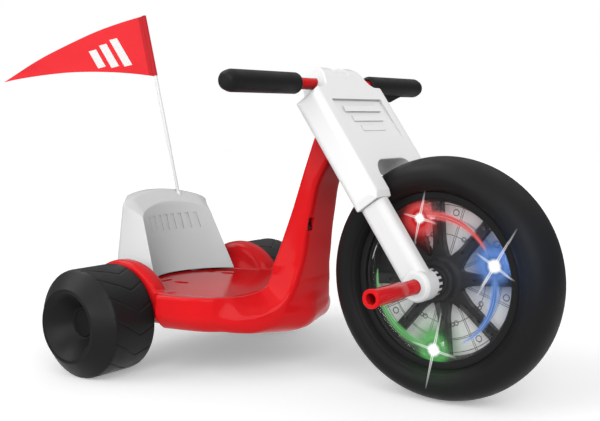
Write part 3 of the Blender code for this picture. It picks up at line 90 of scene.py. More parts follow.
REAR_RADIUS = 0.0975
TREAD_OUTER = 0.277
TREAD_INNER = 0.1835
LIP_OUTER = 0.303
LIP_RADIUS = 0.067
DISH_FLOOR = 0.265
POLE_LEAN = radians(14.25)
POLE_RADIUS = 0.0034
POLE_ABOVE = 0.3675
FLAG_HOIST = 0.127
FLAG_LENGTH = 0.3295
FLAG_SWING = radians(26.4)
GAP = 0.0003
SIDES = (("right", -1), ("left", 1))

# Frames: the trike's under the rear axle, the fork's on the front axle, the pole's at its foot
axle_low, axle_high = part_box("rear_axle")
TRIKE = Matrix.Translation(((axle_low.x + axle_high.x) / 2, 0, 0))
FRONT_HUB = TRIKE @ Matrix.Translation((WHEELBASE, 0, TYRE_RADIUS))
REAR_HUB = TRIKE @ Matrix.Translation((0, 0, REAR_RADIUS))
FORK = FRONT_HUB @ Matrix.Rotation(-FORK_RAKE, 4, "Y")
STEER = FORK @ Matrix.Translation((-STEER_OFFSET, 0, 0))
POLE = TRIKE @ Matrix.Translation((-0.0628, 0.045, 0.3134)) @ Matrix.Rotation(-POLE_LEAN, 4, "Y")
BAR = Matrix.Translation(FORK @ Vector((0, 0, BAR_HEIGHT)))
ACROSS = Matrix(((1, 0, 0, 0), (0, 0, 1, 0), (0, 1, 0, 0), (0, 0, 0, 1)))
FACING = Matrix(((0, 0, 1, 0), (1, 0, 0, 0), (0, 1, 0, 0), (0, 0, 0, 1)))


# Meshes are passed about as a list of points and a list of faces

def sideways(side):
    """Turns a local Z axis outward across the trike."""
    return Matrix(((1, 0, 0, 0), (0, 0, side, 0), (0, -side, 0, 0), (0, 0, 0, 1)))


def polar(radius, turn):
    angle = radians(turn)
    return radius * cos(angle), radius * sin(angle)


def arc(centre, radius, start, end, count):
    points = [polar(radius, start + (end - start) * i / count) for i in range(count + 1)]
    return [(centre[0] + u, centre[1] + v) for u, v in points]


def rounded(points, radius, count=3, closed=True):
    """Polyline whose corners are turned into small curves."""
    result = []
    total = len(points)
    for i, point in enumerate(points):
        if not closed and i in (0, total - 1):
            result.append(tuple(point))
            continue
        corner = Vector(point)
        back = Vector(points[i - 1]) - corner
        ahead = Vector(points[(i + 1) % total]) - corner
        reach_back = min(radius, 0.45 * back.length)
        reach_ahead = min(radius, 0.45 * ahead.length)
        start = corner + back.normalized() * reach_back
        end = corner + ahead.normalized() * reach_ahead
        for step in range(count + 1):
            t = step / count
            result.append(tuple(start * (1 - t) ** 2 + corner * 2 * t * (1 - t) + end * t * t))
    return result


def filled(points, per):
    """Closed polyline with more points on each of its lines."""
    result = []
    for start, end in zip(points, points[1:] + points[:1]):
        result += [tuple(a + (b - a) * step / per for a, b in zip(start, end)) for step in range(per)]
    return result


def monotone(rows, per):
    """Rows of numbers with smooth in-between rows that never overshoot."""
    rows = np.array(rows, float)
    change = np.diff(rows, axis=0)
    slope = np.zeros_like(rows)
    slope[0], slope[-1] = change[0], change[-1]
    before, after = change[:-1], change[1:]
    agree = before * after > 0
    total = np.where(agree, before + after, 1.0)
    slope[1:-1] = np.where(agree, 2 * before * after / total, 0.0)
    result = []
    for i in range(len(rows) - 1):
        for step in range(per):
            t = step / per
            h = (2 * t**3 - 3 * t**2 + 1, t**3 - 2 * t**2 + t, 3 * t**2 - 2 * t**3, t**3 - t**2)
            result.append(h[0] * rows[i] + h[1] * slope[i] + h[2] * rows[i + 1] + h[3] * slope[i + 1])
    return result + [rows[-1]]


def placed(data, matrix):
    points, faces = data
    return [tuple(matrix @ Vector(point)) for point in points], faces


def together(*parts):
    points, faces = [], []
    for part_points, part_faces in parts:
        start = len(points)
        points += part_points
        faces += [tuple(i + start for i in face) for face in part_faces]
    return points, faces


def lathe(profile, steps, matrix, closed=True, ripple=None):
    """Profile of (radius, height) turned about local Z; ripple(angle, radius, height) gives a new radius."""
    points, faces = [], []
    count = len(profile)
    for step in range(steps):
        angle = 2 * pi * step / steps
        for radius, height in profile:
            if ripple:
                radius = ripple(angle, radius, height)
            points.append((radius * cos(angle), radius * sin(angle), height))
    for step in range(steps):
        here, there = step * count, (step + 1) % steps * count
        for i in range(count if closed else count - 1):
            j = (i + 1) % count
            faces.append((here + i, there + i, there + j, here + j))
    return placed((points, faces), matrix)


def loft(rings):
    points = [point for ring in rings for point in ring]
    count = len(rings[0])
    faces = []
    for row in range(len(rings) - 1):
        for i in range(count):
            j = (i + 1) % count
            faces.append((row * count + i, row * count + j, (row + 1) * count + j, (row + 1) * count + i))
    last = (len(rings) - 1) * count
    faces += [tuple(range(count))[::-1], tuple(range(last, last + count))]
    return points, faces


def prism(outline, low, high, matrix=Matrix.Identity(4)):
    return placed(loft([[(u, v, w) for u, v in outline] for w in (low, high)]), matrix)


def block(low, high, matrix=Matrix.Identity(4)):
    outline = [(low[0], low[1]), (high[0], low[1]), (high[0], high[1]), (low[0], high[1])]
    return prism(outline, low[2], high[2], matrix)


def drum(radius, low, high, matrix, steps=48):
    return lathe([(0, low), (radius, low), (radius, high), (0, high)], steps, matrix, closed=False)


def added(name, data):
    obj = bpy.data.objects.new(name, data)
    scene.collection.objects.link(obj)
    return obj


def form(name, data):
    """Object from mesh data, with doubled points merged and its faces turned outward."""
    mesh = bpy.data.meshes.new(name)
    mesh.from_pydata(data[0], [], data[1])
    bm = bmesh.new()
    bm.from_mesh(mesh)
    bmesh.ops.remove_doubles(bm, verts=bm.verts, dist=0.000002)
    bmesh.ops.recalc_face_normals(bm, faces=bm.faces)
    if bm.calc_volume(signed=True) < 0:
        bmesh.ops.reverse_faces(bm, faces=bm.faces)
    bm.to_mesh(mesh)
    bm.free()
    return added(name, mesh)


def settle(obj):
    """Keeps what the object's modifiers make of its mesh."""
    graph = bpy.context.evaluated_depsgraph_get()
    mesh = bpy.data.meshes.new_from_object(obj.evaluated_get(graph))
    obj.modifiers.clear()
    obj.data = mesh
    return obj


def taken(obj):
    """Mesh data of a helper object, which is removed."""
    data = [tuple(v.co) for v in obj.data.vertices], [tuple(p.vertices) for p in obj.data.polygons]
    bpy.data.objects.remove(obj)
    return data


def carve(obj, data, operation="DIFFERENCE"):
    """Boolean of the object with mesh data."""
    tool = form("tool", data)
    mod = obj.modifiers.new("carve", "BOOLEAN")
    mod.operation = operation
    mod.solver = "EXACT"
    mod.object = tool
    settle(obj)
    bpy.data.objects.remove(tool)
    return obj


def moulded(obj, voxel, rounds):
    """One even skin over whatever the mesh holds, its edges softened as a mould leaves them."""
    mod = obj.modifiers.new("skin", "REMESH")
    mod.mode = "VOXEL"
    mod.voxel_size = voxel
    soft = obj.modifiers.new("soft", "SMOOTH")
    soft.factor = 0.5
    soft.iterations = rounds
    return settle(obj)


def dress(obj, body, material, cad=(), crease=35.0):
    """Shades a piece, gives it its finish and lets it ride on a body in place of its solids."""
    obj.data.shade_smooth()
    obj.data.set_sharp_from_angle(angle=radians(crease))
    obj.data.materials.clear()
    obj.data.materials.append(material)
    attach(obj, body)
    if cad:
        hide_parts(*cad)
    return obj


def turned(node, profile, steps, place, body, material, slot, crease=35.0, **more):
    """A lathed piece in place of the solid whose name it carries."""
    obj = form(node + "_fine", lathe(profile, steps, place, **more))
    return dress(obj, body, material, [node], crease)


# Finishes

def feed(tree, value, socket):
    """Gives a node's input a number, a colour or what other nodes work out."""
    if isinstance(value, Field):
        tree.links.new(value.socket, socket)
    elif isinstance(value, tuple):
        socket.default_value = (*value, 1.0)
    else:
        socket.default_value = value


def worked_out(tree, kind, output, inputs, **settings):
    """What one new node gives for these inputs."""
    node = tree.nodes.new("ShaderNode" + kind)
    for name, value in settings.items():
        setattr(node, name, value)
    for name, value in inputs:
        feed(tree, value, node.inputs[name])
    return Field(tree, node.outputs[output])


def math_node(operation, swapped=False):
    """Method that works a field out further with one math node."""
    def method(self, *others):
        values = (self, *others)[::-1] if swapped else (self, *others)
        return worked_out(self.tree, "Math", 0, enumerate(values), operation=operation)
    return method


class Field:
    """Number or colour that varies over a surface, worked out by the nodes of a tree."""

    def __init__(self, tree, socket):
        self.tree = tree
        self.socket = socket

    __add__ = __radd__ = math_node("ADD")
    __sub__ = math_node("SUBTRACT")
    __rsub__ = math_node("SUBTRACT", True)
    __mul__ = __rmul__ = math_node("MULTIPLY")
    __truediv__ = math_node("DIVIDE")
    __mod__ = math_node("MODULO")
    __pow__ = math_node("POWER")
    __abs__ = math_node("ABSOLUTE")
    above = math_node("GREATER_THAN")
    below = math_node("LESS_THAN")
    at_least = math_node("MAXIMUM")
    at_most = math_node("MINIMUM")
    root = math_node("SQRT")
    exponent = math_node("EXPONENT")
    sine = math_node("SINE")
    cosine = math_node("COSINE")
    angle_over = math_node("ARCTAN2")


def blend(factor, low, high):
    """Mix of two colours, each a tuple or a field."""
    return worked_out(factor.tree, "Mix", 2, (("Factor", factor), (6, low), (7, high)), data_type="RGBA")


def grain(tree, scale):
    """Noise over the piece's own coordinates."""
    place = worked_out(tree, "TexCoord", "Object", ())
    return worked_out(tree, "TexNoise", "Fac", (("Scale", scale), ("Detail", 3.0), ("Vector", place)))


def ranged(value, low, high, start=0.3, end=0.7):
    """Low below the start, high above the end and even between them."""
    ends = (("Value", value), ("From Min", start), ("From Max", end), ("To Min", low), ("To Max", high))
    return worked_out(value.tree, "MapRange", "Result", ends)


def raised(height, strength, distance):
    inputs = (("Height", height), ("Strength", strength), ("Distance", distance))
    return worked_out(height.tree, "Bump", "Normal", inputs)


def axes(tree, kind="TexCoord", output="Object"):
    """The numbers of a place on the surface."""
    parts = tree.nodes.new("ShaderNodeSeparateXYZ")
    feed(tree, worked_out(tree, kind, output, ()), parts.inputs[0])
    return [Field(tree, part) for part in parts.outputs]


def new_material(name):
    material = bpy.data.materials.new(name)
    material.use_nodes = True
    return material


def give(material, values):
    """Sets or links the inputs of a material's shader by name."""
    tree = material.node_tree
    for name, value in values.items():
        feed(tree, value, tree.nodes["Principled BSDF"].inputs[name])
    return material


def base_of(material):
    tree = material.node_tree
    return Field(tree, tree.nodes["Principled BSDF"].inputs["Base Color"].links[0].from_socket)


def plastic(name, colour, roughness, mottle=0.05, spread=0.05, bump=0.00003, fine=700.0, level=0.3,
            metallic=0):
    """Moulded plastic, rubber or metal: faint clouding of colour and gloss over a fine surface grain."""
    material = new_material(name)
    tree = material.node_tree
    dark = tuple(c * (1 - mottle) for c in colour)
    light = tuple(min(1.0, c * (1 + mottle)) for c in colour)
    return give(material, {
        "Base Color": blend(grain(tree, 14.0), dark, light),
        "Roughness": ranged(grain(tree, 45.0), roughness - spread, roughness + spread),
        "Metallic": metallic,
        "Specular IOR Level": level,
        "Normal": raised(grain(tree, fine), 0.5, bump),
    })


# Each lamp: distance and angle from the front axle, colour and spread of its light
LAMPS = {
    "red": (0.106, 110.0, (0.52, 0.006, 0.008), 1.0),
    "blue": (0.103, 18.7, (0.03, 0.14, 0.44), 1.35),
    "green": (0.114, -93.0, (0.035, 0.28, 0.04), 1.0),
}
# Each flare is painted on the cover as light: place ahead of and above the axle, core, lean of its long ray,
# half lengths of its rays, start and sweep of its arc
FLARES = {
    "red": (-0.0276, 0.1002, 0.0074, 78.5, 0.046, 0.032, 101.0, 76.0),
    "blue": (0.1046, 0.0342, 0.0098, 60.0, 0.07, 0.04, 11.0, 73.0),
    "green": (0.001, -0.1117, 0.0098, 78.3, 0.066, 0.042, -98.0, 88.0),
}
ARC_RADIUS = 0.1065
# Each glint, a painted reflection on the cover: radius, middle and half of its turn, strength
PAINTED_GLINTS = ((0.1383, 180.0, 22.0, 0.5), (0.1366, 245.0, 45.0, 0.42), (0.1195, 161.0, 7.0, 0.55))
# The cover's face from the middle plane, and the run of the line of sight ahead and up for each unit out
COVER_FACE = 0.0365
SIGHT_AHEAD = 0.533
SIGHT_UP = 0.189
BLACKEST = (0.0, 0.0, 0.0)
WHITEST = (1.0, 1.0, 1.0)


def length_of(u, v):
    return (u * u + v * v).root()


def degrees_of(u, v):
    return v.angle_over(u) * (180 / pi)


def hump(value, width):
    """Bell curve round zero."""
    share = value / width
    return (share * share * -1.0).exponent()


def wheel_plane(tree):
    """Forward and upward distance from the front axle."""
    x, y, z = axes(tree)
    hub = FRONT_HUB.translation
    return x - hub.x, z - hub.z


def sight_plane(tree):
    """The same distances, carried along the line of sight to the covers' face."""
    x, y, z = axes(tree)
    hub = FRONT_HUB.translation
    nearer = abs(y) - COVER_FACE
    return x - hub.x - nearer * SIGHT_AHEAD, z - hub.z - nearer * SIGHT_UP


def painted_lamp_glow(base, shift, reach, weight):
    """Painted glow: colour that the three lamps would throw on a face of the wheel, painted over its own
    colour.
    """
    across, up = wheel_plane(base.tree)
    for distance, turn, colour, spread in LAMPS.values():
        ahead, rise = polar(distance, turn)
        away = length_of(across - (ahead + shift), up - rise)
        near = (hump(away, reach * spread) * weight).at_most(0.92)
        base = blend(near, base, colour)
    return base


def with_painted_lamp_glow(material, shift, reach, weight):
    return give(material, {"Base Color": painted_lamp_glow(base_of(material), shift, reach, weight)})


def with_dark_rim(material, radius, colour):
    """Darker colour from a radius about the front axle outward."""
    base = base_of(material)
    outside = length_of(*wheel_plane(base.tree)).above(radius)
    return give(material, {"Base Color": blend(outside, base, colour)})


def flare_rays(across, up, flare):
    """White share of a painted flare: its core and its crossed twin rays."""
    x, z, core, lean, long_half, cross_half = flare[:6]
    u, v = across - x, up - z
    cosine, sine = polar(1.0, lean)
    along, beside = u * cosine + v * sine, v * cosine - u * sine
    away = length_of(u, v)
    white = hump(away * away, core * core) * 1.6
    for run, off, half in ((along, beside, long_half), (beside, along, cross_half)):
        share = (1.0 - abs(run) / half).at_least(0.0)
        twin = hump(abs(off) - (share * 0.0013 + 0.0004), share * 0.0004 + 0.00042)
        white = white + twin * share ** 0.7 * 1.1
    return white


def with_painted_rays(material):
    """Paints the flares' rays as emitted light over a face beside or behind the cover."""
    across, up = sight_plane(material.node_tree)
    whites = [flare_rays(across, up, flare) for flare in FLARES.values()]
    strength = sum(whites[1:], whites[0]).at_most(0.9)
    return give(material, {"Emission Color": WHITEST, "Emission Strength": strength})


def flare_glow(across, up, flare):
    """A painted flare's coloured glow, and the painted pale line of light in its arc."""
    x, z = flare[:2]
    start, sweep = flare[6:]
    behind = (start + 720.0 - degrees_of(across, up)) % 360.0 / sweep
    ahead = (1.0 - behind).at_least(0.0)
    swell = (behind * 2.2 + 0.25).at_most(1.0)
    strength = ahead ** 0.4 * (swell * 0.98)
    off = length_of(across, up) - ARC_RADIUS
    band = hump(off, ahead * 0.0046 + 0.0014)
    line = hump(off + 0.0004, 0.0009) * strength * (swell * 0.28)
    glow = (hump(length_of(across - x, up - z), 0.0168) * 1.8).at_most(0.97)
    streak = (band * strength * 1.5).at_most(0.92)
    return glow.at_least(streak), line


def cover_finish():
    """Clear cover with the lamps' flare, glow and glints painted on it as emitted light."""
    material = new_material("clear cover")
    tree = material.node_tree
    across, up = sight_plane(tree)
    whites, shares, shade = [], [], BLACKEST
    for name, flare in FLARES.items():
        glow, line = flare_glow(across, up, flare)
        shade = blend((glow * 8.0).at_most(1.0), shade, LAMPS[name][2])
        whites.append(flare_rays(across, up, flare) + line)
        shares.append(glow)
    radius = length_of(across, up)
    turn = (degrees_of(across, up) + 360.0) % 360.0
    for ring, middle, half, strength in PAINTED_GLINTS:
        span = ((1.0 - abs(turn - middle) / half).at_least(0.0) * 3.0).at_most(1.0) * strength
        whites.append(hump(radius - ring, 0.0008) * span)
    white = sum(whites[1:], whites[0]).at_most(1.0)
    share = (white + sum(shares[1:], shares[0])).at_most(1.0)
    clear = 0.1
    return give(material, {
        "IOR": 1.45,
        "Specular IOR Level": 0.3,
        "Roughness": ranged(grain(tree, 30.0), 0.02, 0.05),
        "Emission Color": blend(white, shade, WHITEST),
        "Emission Strength": 1.0,
        "Base Color": blend(share ** 0.3, (0.97, 0.97, 0.97), BLACKEST),
        "Transmission Weight": 1.0 - share,
        "Alpha": share * (1 - clear) + clear,
    })


def board_finish():
    """Pale board with fine dark line work, the lamps' light painted on it, and a faint painted glow of its own.
    """
    material = plastic("light board", (0.76, 0.76, 0.76), 0.45, 0.02, 0.04)
    base = base_of(material)
    across, up = wheel_plane(base.tree)
    radius = length_of(across, up)
    eighth = pi / 4
    folded = (up.angle_over(across) + radians(360 - SPOKE_PHASE)) % eighth - eighth / 2
    along, beside = radius * folded.cosine(), radius * folded.sine()
    circles = [(radius, place) for place in (0.0735, 0.0985, 0.1008, 0.1215)]
    straights = [(beside, place) for place in (0.0022, 0.0052)]
    lines = [abs(value - place).below(0.00065) for value, place in circles + straights]
    for centre, side, size in ((0.0735, -0.012, 0.0036), (0.0735, -0.019, 0.0028), (0.11, 0.015, 0.005)):
        lines.append(abs(length_of(along - centre, beside - side) - size).below(0.001))
    drawn = lines[0]
    for line in lines[1:]:
        drawn = drawn.at_least(line)
    drawn = blend(drawn * 0.88, base, (0.05, 0.05, 0.055))
    # Near black over a sector round 150 degrees of the board, its border made ragged by noise.
    edge = abs((degrees_of(across, up) + 360.0) % 360.0 - 150.0) + grain(base.tree, 90.0) * 10.0
    drawn = blend(edge.below(39.0), drawn, (0.018, 0.018, 0.018))
    painted_glow_colour = painted_lamp_glow(drawn, -0.01, 0.034, 1.3)
    # Painted light: the lamps' glow in the board's colour, and a faint glow of its own though it is no lamp.
    return give(material, {"Base Color": painted_glow_colour, "Emission Color": painted_glow_colour, "Emission Strength": 0.12})


def lens_finish(name, colour):
    """Lit lens, white-hot in the middle of its glow."""
    material = plastic(name, colour, 0.2, 0.05, 0.04)
    hot = tuple(0.7 + 0.3 * c for c in colour)
    glow = blend(grain(material.node_tree, 200.0), hot, WHITEST)
    return give(material, {"Emission Color": glow, "Emission Strength": 4.0})


def ring_finish():
    """Dark bearing ring with pale dashes round its side."""
    material = plastic("dashed ring", (0.016, 0.016, 0.017), 0.45, 0.08, 0.05)
    base = base_of(material)
    across, up = wheel_plane(base.tree)
    dash = (up.angle_over(across) * 16.0).sine().above(0.1) * length_of(across, up).above(0.0235)
    return give(material, {"Base Color": blend(dash * 0.9, base, (0.7, 0.7, 0.7))})


def flag_finish():
    """Red cloth with a fine weave, painted shade by the hoist and three slanted pale bars."""
    material = new_material("flag cloth")
    tree = material.node_tree
    along, up = axes(tree, "UVMap", "UV")[:2]
    cloth = blend(grain(tree, 20.0), (0.72, 0.022, 0.03), (0.84, 0.034, 0.042))
    # Painted shade: the cloth is darker near the hoist.
    cloth = blend(along.below(0.013) * 0.5, cloth, (0.3, 0.012, 0.016))
    slanted = along + up * -0.35
    bars = None
    for middle, low, high in ((0.063, -0.03, 0.032), (0.09, -0.026, 0.026), (0.117, -0.02, 0.02)):
        bar = abs(slanted - middle).below(0.0085) * (up.above(low) * up.below(high))
        bars = bars.at_least(bar) if bars else bar
    turns = 2 * pi / 0.0009
    return give(material, {
        "Base Color": blend(bars, cloth, (0.8, 0.78, 0.78)),
        "Roughness": 0.75,
        "Sheen Weight": 0.04,
        "Specular IOR Level": 0.15,
        "Normal": raised((along * turns).sine() * (up * turns).sine(), 0.4, 0.0001),
    })


RED = plastic("red moulded plastic", (0.68, 0.01, 0.013), 0.12, 0.03, 0.02, 0.00001, 500.0, 0.1)
# The leg and seat whites are darker copies of the moulded white: painted shade on the legs and the seat.
WHITE, SHADED_LEG_WHITE, SHADED_SEAT_WHITE = (
    plastic("white %s plastic" % kind, (shade, shade, shade), 0.34, 0.01, 0.05, level=0.2)
    for kind, shade in (("moulded", 0.87), ("leg", 0.77), ("seat", 0.67)))
TYRE = plastic("tyre black", (0.0125, 0.0125, 0.0128), 0.46, 0.1, 0.05, 0.00006, 500.0, 0.09)
RUBBER = plastic("grip rubber", (0.014, 0.014, 0.0145), 0.46, 0.1, 0.06, 0.0001, 900.0, 0.12)
BLACK = plastic("black moulded plastic", (0.0115, 0.0115, 0.012), 0.44, 0.1, 0.06, 0.00006, 600.0, 0.15)
SPOKE = plastic("spoke grey", (0.038, 0.038, 0.039), 0.55, 0.1, 0.06, 0.00006, 600.0, 0.12)
GREY = plastic("dark grey moulded plastic", (0.0095, 0.0095, 0.01), 0.5, 0.1, 0.06, level=0.12)
DEEP = plastic("deep red moulded plastic", (0.085, 0.004, 0.005), 0.4, 0.06, 0.05, level=0.2)
PALE = plastic("pale grey moulded plastic", (0.66, 0.66, 0.66), 0.42, 0.03, 0.05)
STEEL = plastic("turned steel", (0.56, 0.56, 0.57), 0.3, 0.06, 0.06, 0.00004, 1500.0, 0.5, 1.0)
SCREW = plastic("blackened steel", (0.1, 0.1, 0.105), 0.4, 0.06, 0.06, 0.00004, 1500.0, 0.5, 1.0)
FIBRE = plastic("white glass fibre", (0.8, 0.8, 0.8), 0.34, 0.008, 0.03, 0.000005, 900.0)
COVER = cover_finish()
RING = ring_finish()
# Painted light on the tyre and the spokes: the lamps' glow in their colour, and the flares' rays as emitted
# light.
with_painted_rays(with_painted_lamp_glow(TYRE, 0.01, 0.04, 0.08))
with_painted_rays(with_dark_rim(with_painted_lamp_glow(SPOKE, -0.005, 0.028, 0.3), 0.1315, (0.014, 0.014, 0.0145)))
FINISHES = {
    "gloss_red": RED, "white_plastic": WHITE, "tyre_black": TYRE, "grip_rubber": RUBBER,
    "black_plastic": BLACK, "dark_grey_plastic": GREY, "pale_grey_plastic": PALE, "clear_plastic": COVER,
    "steel": STEEL, "flag_cloth": RED, "glass_fibre": FIBRE,
}


def coat(node, material):
    """Gives a solid that stays in view its finish."""
    mesh = frame["nodes"][node].data
    mesh.materials.clear()
    mesh.materials.append(material)


def coat_solids():
    for entry in frame["record"]["subparts"]:
        coat(entry["node"], FINISHES.get(entry["material_slot"], PALE))
    for name, lamp in LAMPS.items():
        coat("lamp_" + name, lens_finish(name + " lens", lamp[2]))
    coat("charge_socket", DEEP)
    coat("light_board", board_finish())


# Front wheel
WHEEL_STEPS = 144


def front_tyre():
    bead, widest = RIM_RADIUS + GAP, 0.165
    flank = ((0.0, RIM_HALF), (0.03, 0.0366), (0.1, 0.0432), (0.2, 0.0492), (0.3, 0.0522))
    side = [(bead + share * (TYRE_RADIUS - bead), width) for share, width in monotone(flank, 4)]
    for step in range(31):
        out, rise = polar(1.0, 3.0 * step)
        side.append((widest + (TYRE_RADIUS - widest) * rise, TYRE_HALF * out))
    groove = bead + 0.0068
    side = [(r, w - 0.0012 * max(0.0, 1 - abs(r - groove) / 0.0011)) for r, w in side]
    inner = [(bead, 0.0265), (bead + 0.03, 0.046), (0.193, 0.028)]
    outline = side + [(r, -w) for r, w in side[::-1][1:] + inner] + inner[::-1]
    place = FRONT_HUB @ sideways(1)
    turned("front_tyre", outline, WHEEL_STEPS, place, "front_wheel", TYRE, "tyre_black", 50.0)


def spoke_windows(side, web):
    """Cutters for the windows between the spokes and for the small blind ovals in the spokes."""
    cutters = []
    turn = 360.0 / SPOKES
    rim, bend, foot = 0.127, 0.062, 0.041
    rim_turn, bend_turn = (turn / 2 - degrees(asin(SPOKE_HALF / radius)) for radius in (rim, bend))
    low, high = sorted((side * (web - 0.003), side * (web + 0.01)))
    for index in range(SPOKES):
        middle = SPOKE_PHASE + turn * (index + 0.5)
        outline = arc((0, 0), rim, middle - rim_turn, middle + rim_turn, 14)
        outline.append(polar(bend, middle + bend_turn))
        outline += arc((0, 0), foot, middle + 4.0, middle - 4.0, 3)
        outline.append(polar(bend, middle - bend_turn))
        cutters.append(prism(rounded(outline, 0.005, 4), -0.05, 0.05, FRONT_HUB @ ACROSS))
        spoke = Matrix.Rotation(radians(SPOKE_PHASE + turn * index), 4, "Z")
        for radius in (bend, 0.092):
            oval = [(radius + 0.0034 * u, 0.0022 * v) for u, v in arc((0, 0), 1.0, 0, 337.5, 15)]
            cutters.append(prism(oval, low, high, FRONT_HUB @ ACROSS @ spoke))
    return together(*cutters)


def spoke_screws(name, side, web):
    head = rounded([(0, 0.0016), (0.001, 0.0016), (0.0011, 0.0008), (0.0026, 0.0014), (0.0034, 0.0003),
                    (0.0034, 0.0), (0, 0)], 0.0002, 1, closed=False)
    screws = []
    for index in range(SPOKES):
        ahead, up = polar(0.118, SPOKE_PHASE + 360.0 / SPOKES * index)
        place = FRONT_HUB @ Matrix.Translation((ahead, side * (web + 0.0002), up))
        screws.append(lathe(head, 20, place @ sideways(side), closed=False))
    dress(form("spoke_screws_" + name, together(*screws)), "front_wheel", SCREW)


def wheel_halves():
    web, seat, hub, hub_half = 0.016, 0.026, 0.032, 0.036
    rim_inner = 0.1325
    profile = rounded([
        (hub, hub_half), (hub, web + 0.004), (hub + 0.006, web), (rim_inner - 0.004, web),
        (rim_inner - 0.004, seat), (rim_inner, seat), (rim_inner, RIM_HALF), (RIM_RADIUS, RIM_HALF),
        (RIM_RADIUS, 0.0015), (0.0115, 0.0015), (0.0115, 0.0277), (0.0133, 0.0277), (0.0133, hub_half),
        (0.0225, hub_half), (0.0225, hub_half - 0.0015), (0.0245, hub_half - 0.0015), (0.0245, hub_half),
    ], 0.0007, 2)
    for name, side in SIDES:
        obj = form("wheel_half_%s_fine" % name, lathe(profile, WHEEL_STEPS, FRONT_HUB @ sideways(side)))
        carve(obj, spoke_windows(side, web))
        mod = obj.modifiers.new("edges", "BEVEL")
        mod.width = 0.0006
        mod.segments = 2
        mod.limit_method = "ANGLE"
        mod.angle_limit = radians(50)
        settle(obj)
        dress(obj, "front_wheel", SPOKE, ["wheel_half_" + name])
        spoke_screws(name, side, web)


def wheel_covers():
    seat, edge, bore = 0.0263, 0.1322, 0.0323
    shape = ((0.0, 0.0), (0.04, 0.28), (0.1, 0.5), (0.2, 0.7), (0.35, 0.85), (0.65, 0.96), (1.0, 1.0))
    skin = [(edge + share * (bore - edge), seat + rise * 0.0105) for share, rise in monotone(shape, 5)]
    dome = [(radius, height + 0.002) for radius, height in skin][::-1] + skin
    for name, side in SIDES:
        place = FRONT_HUB @ sideways(side)
        turned("wheel_cover_" + name, dome, WHEEL_STEPS, place, "front_wheel", COVER, "clear_plastic")


def pegs_and_spacers():
    def flutes(angle, radius, height):
        on_neck = 0.0965 < height < 0.1375 and radius > PEG_ROOT - 0.0001
        return radius - (0.0007 * (0.5 + 0.5 * cos(16 * angle)) if on_neck else 0.0)

    outer = 0.2256
    neck = [(PEG_ROOT, 0.138 - 0.0415 * step / 8) for step in range(9)]
    profile = rounded([
        (PEG_RADIUS - 0.001, outer), (PEG_RADIUS, outer - 0.0012), (PEG_RADIUS, outer - 0.005),
        (PEG_RADIUS - 0.0009, outer - 0.0072), (PEG_RADIUS - 0.001, 0.142),
    ], 0.0006, 3, closed=False) + neck + [
        (PEG_ROOT, 0.0958), (AXLE_BORE, 0.0958), (AXLE_BORE, 0.13), (0.0085, 0.13), (0.0085, outer - 0.0008),
        (0.0092, outer),
    ]
    spacer = rounded([
        (0.0245, 0.0637), (0.0245, 0.052), (0.0085, 0.05), (0.0085, 0.0363), (AXLE_BORE, 0.0363),
        (AXLE_BORE, 0.0637),
    ], 0.0008, 2)
    for name, side in SIDES:
        place = FRONT_HUB @ sideways(side)
        turned("foot_peg_" + name, profile, 96, place, "fork", RED, "gloss_red", 40.0, ripple=flutes)
        turned("front_spacer_" + name, spacer, 64, place, "fork", RING, "dark_grey_plastic")


# Fork

def leg_section(side, height, grow):
    near, far, half = LEG_INNER - grow, LEG_OUTER + grow, LEG_HALF_DEPTH + grow
    inner, outer = 0.0095, 0.014
    points = arc((half - outer, far - outer), outer, 0, 90, 8)
    points += arc((outer - half, far - outer), outer, 90, 180, 8)
    points += arc((inner - half, near + inner), inner, 180, 270, 8)
    points += arc((half - inner, near + inner), inner, 270, 360, 8)
    return [(n, side * y, height) for n, y in points]


def fork_legs():
    for name, side in SIDES:
        out = FORK @ sideways(side)
        collar = COLLAR_HEIGHT - GAP
        sections = ((0.0, 0.0), (collar, 0.0), (collar, -LEG_STEP), (0.235, -LEG_STEP))
        leg = loft([leg_section(side, height, grow) for height, grow in sections])
        boss = [(0, 0.1), (BOSS_RADIUS - 0.004, 0.1), (BOSS_RADIUS - 0.002, 0.098),
                (BOSS_RADIUS - 0.002, LEG_OUTER + 0.0007), (BOSS_RADIUS, LEG_OUTER - 0.0025),
                (BOSS_RADIUS, 0.064), (0, 0.064)]
        obj = form("fork_leg_%s_fine" % name, together(placed(leg, FORK), lathe(boss, 96, out, closed=False)))
        moulded(obj, 0.0009, 3)
        carve(obj, drum(PEG_ROOT + GAP, 0.0955, 0.12, out, 64))
        carve(obj, drum(AXLE_BORE, 0.05, 0.12, out, 32))
        dress(obj, "fork", SHADED_LEG_WHITE, ["fork_leg_" + name])


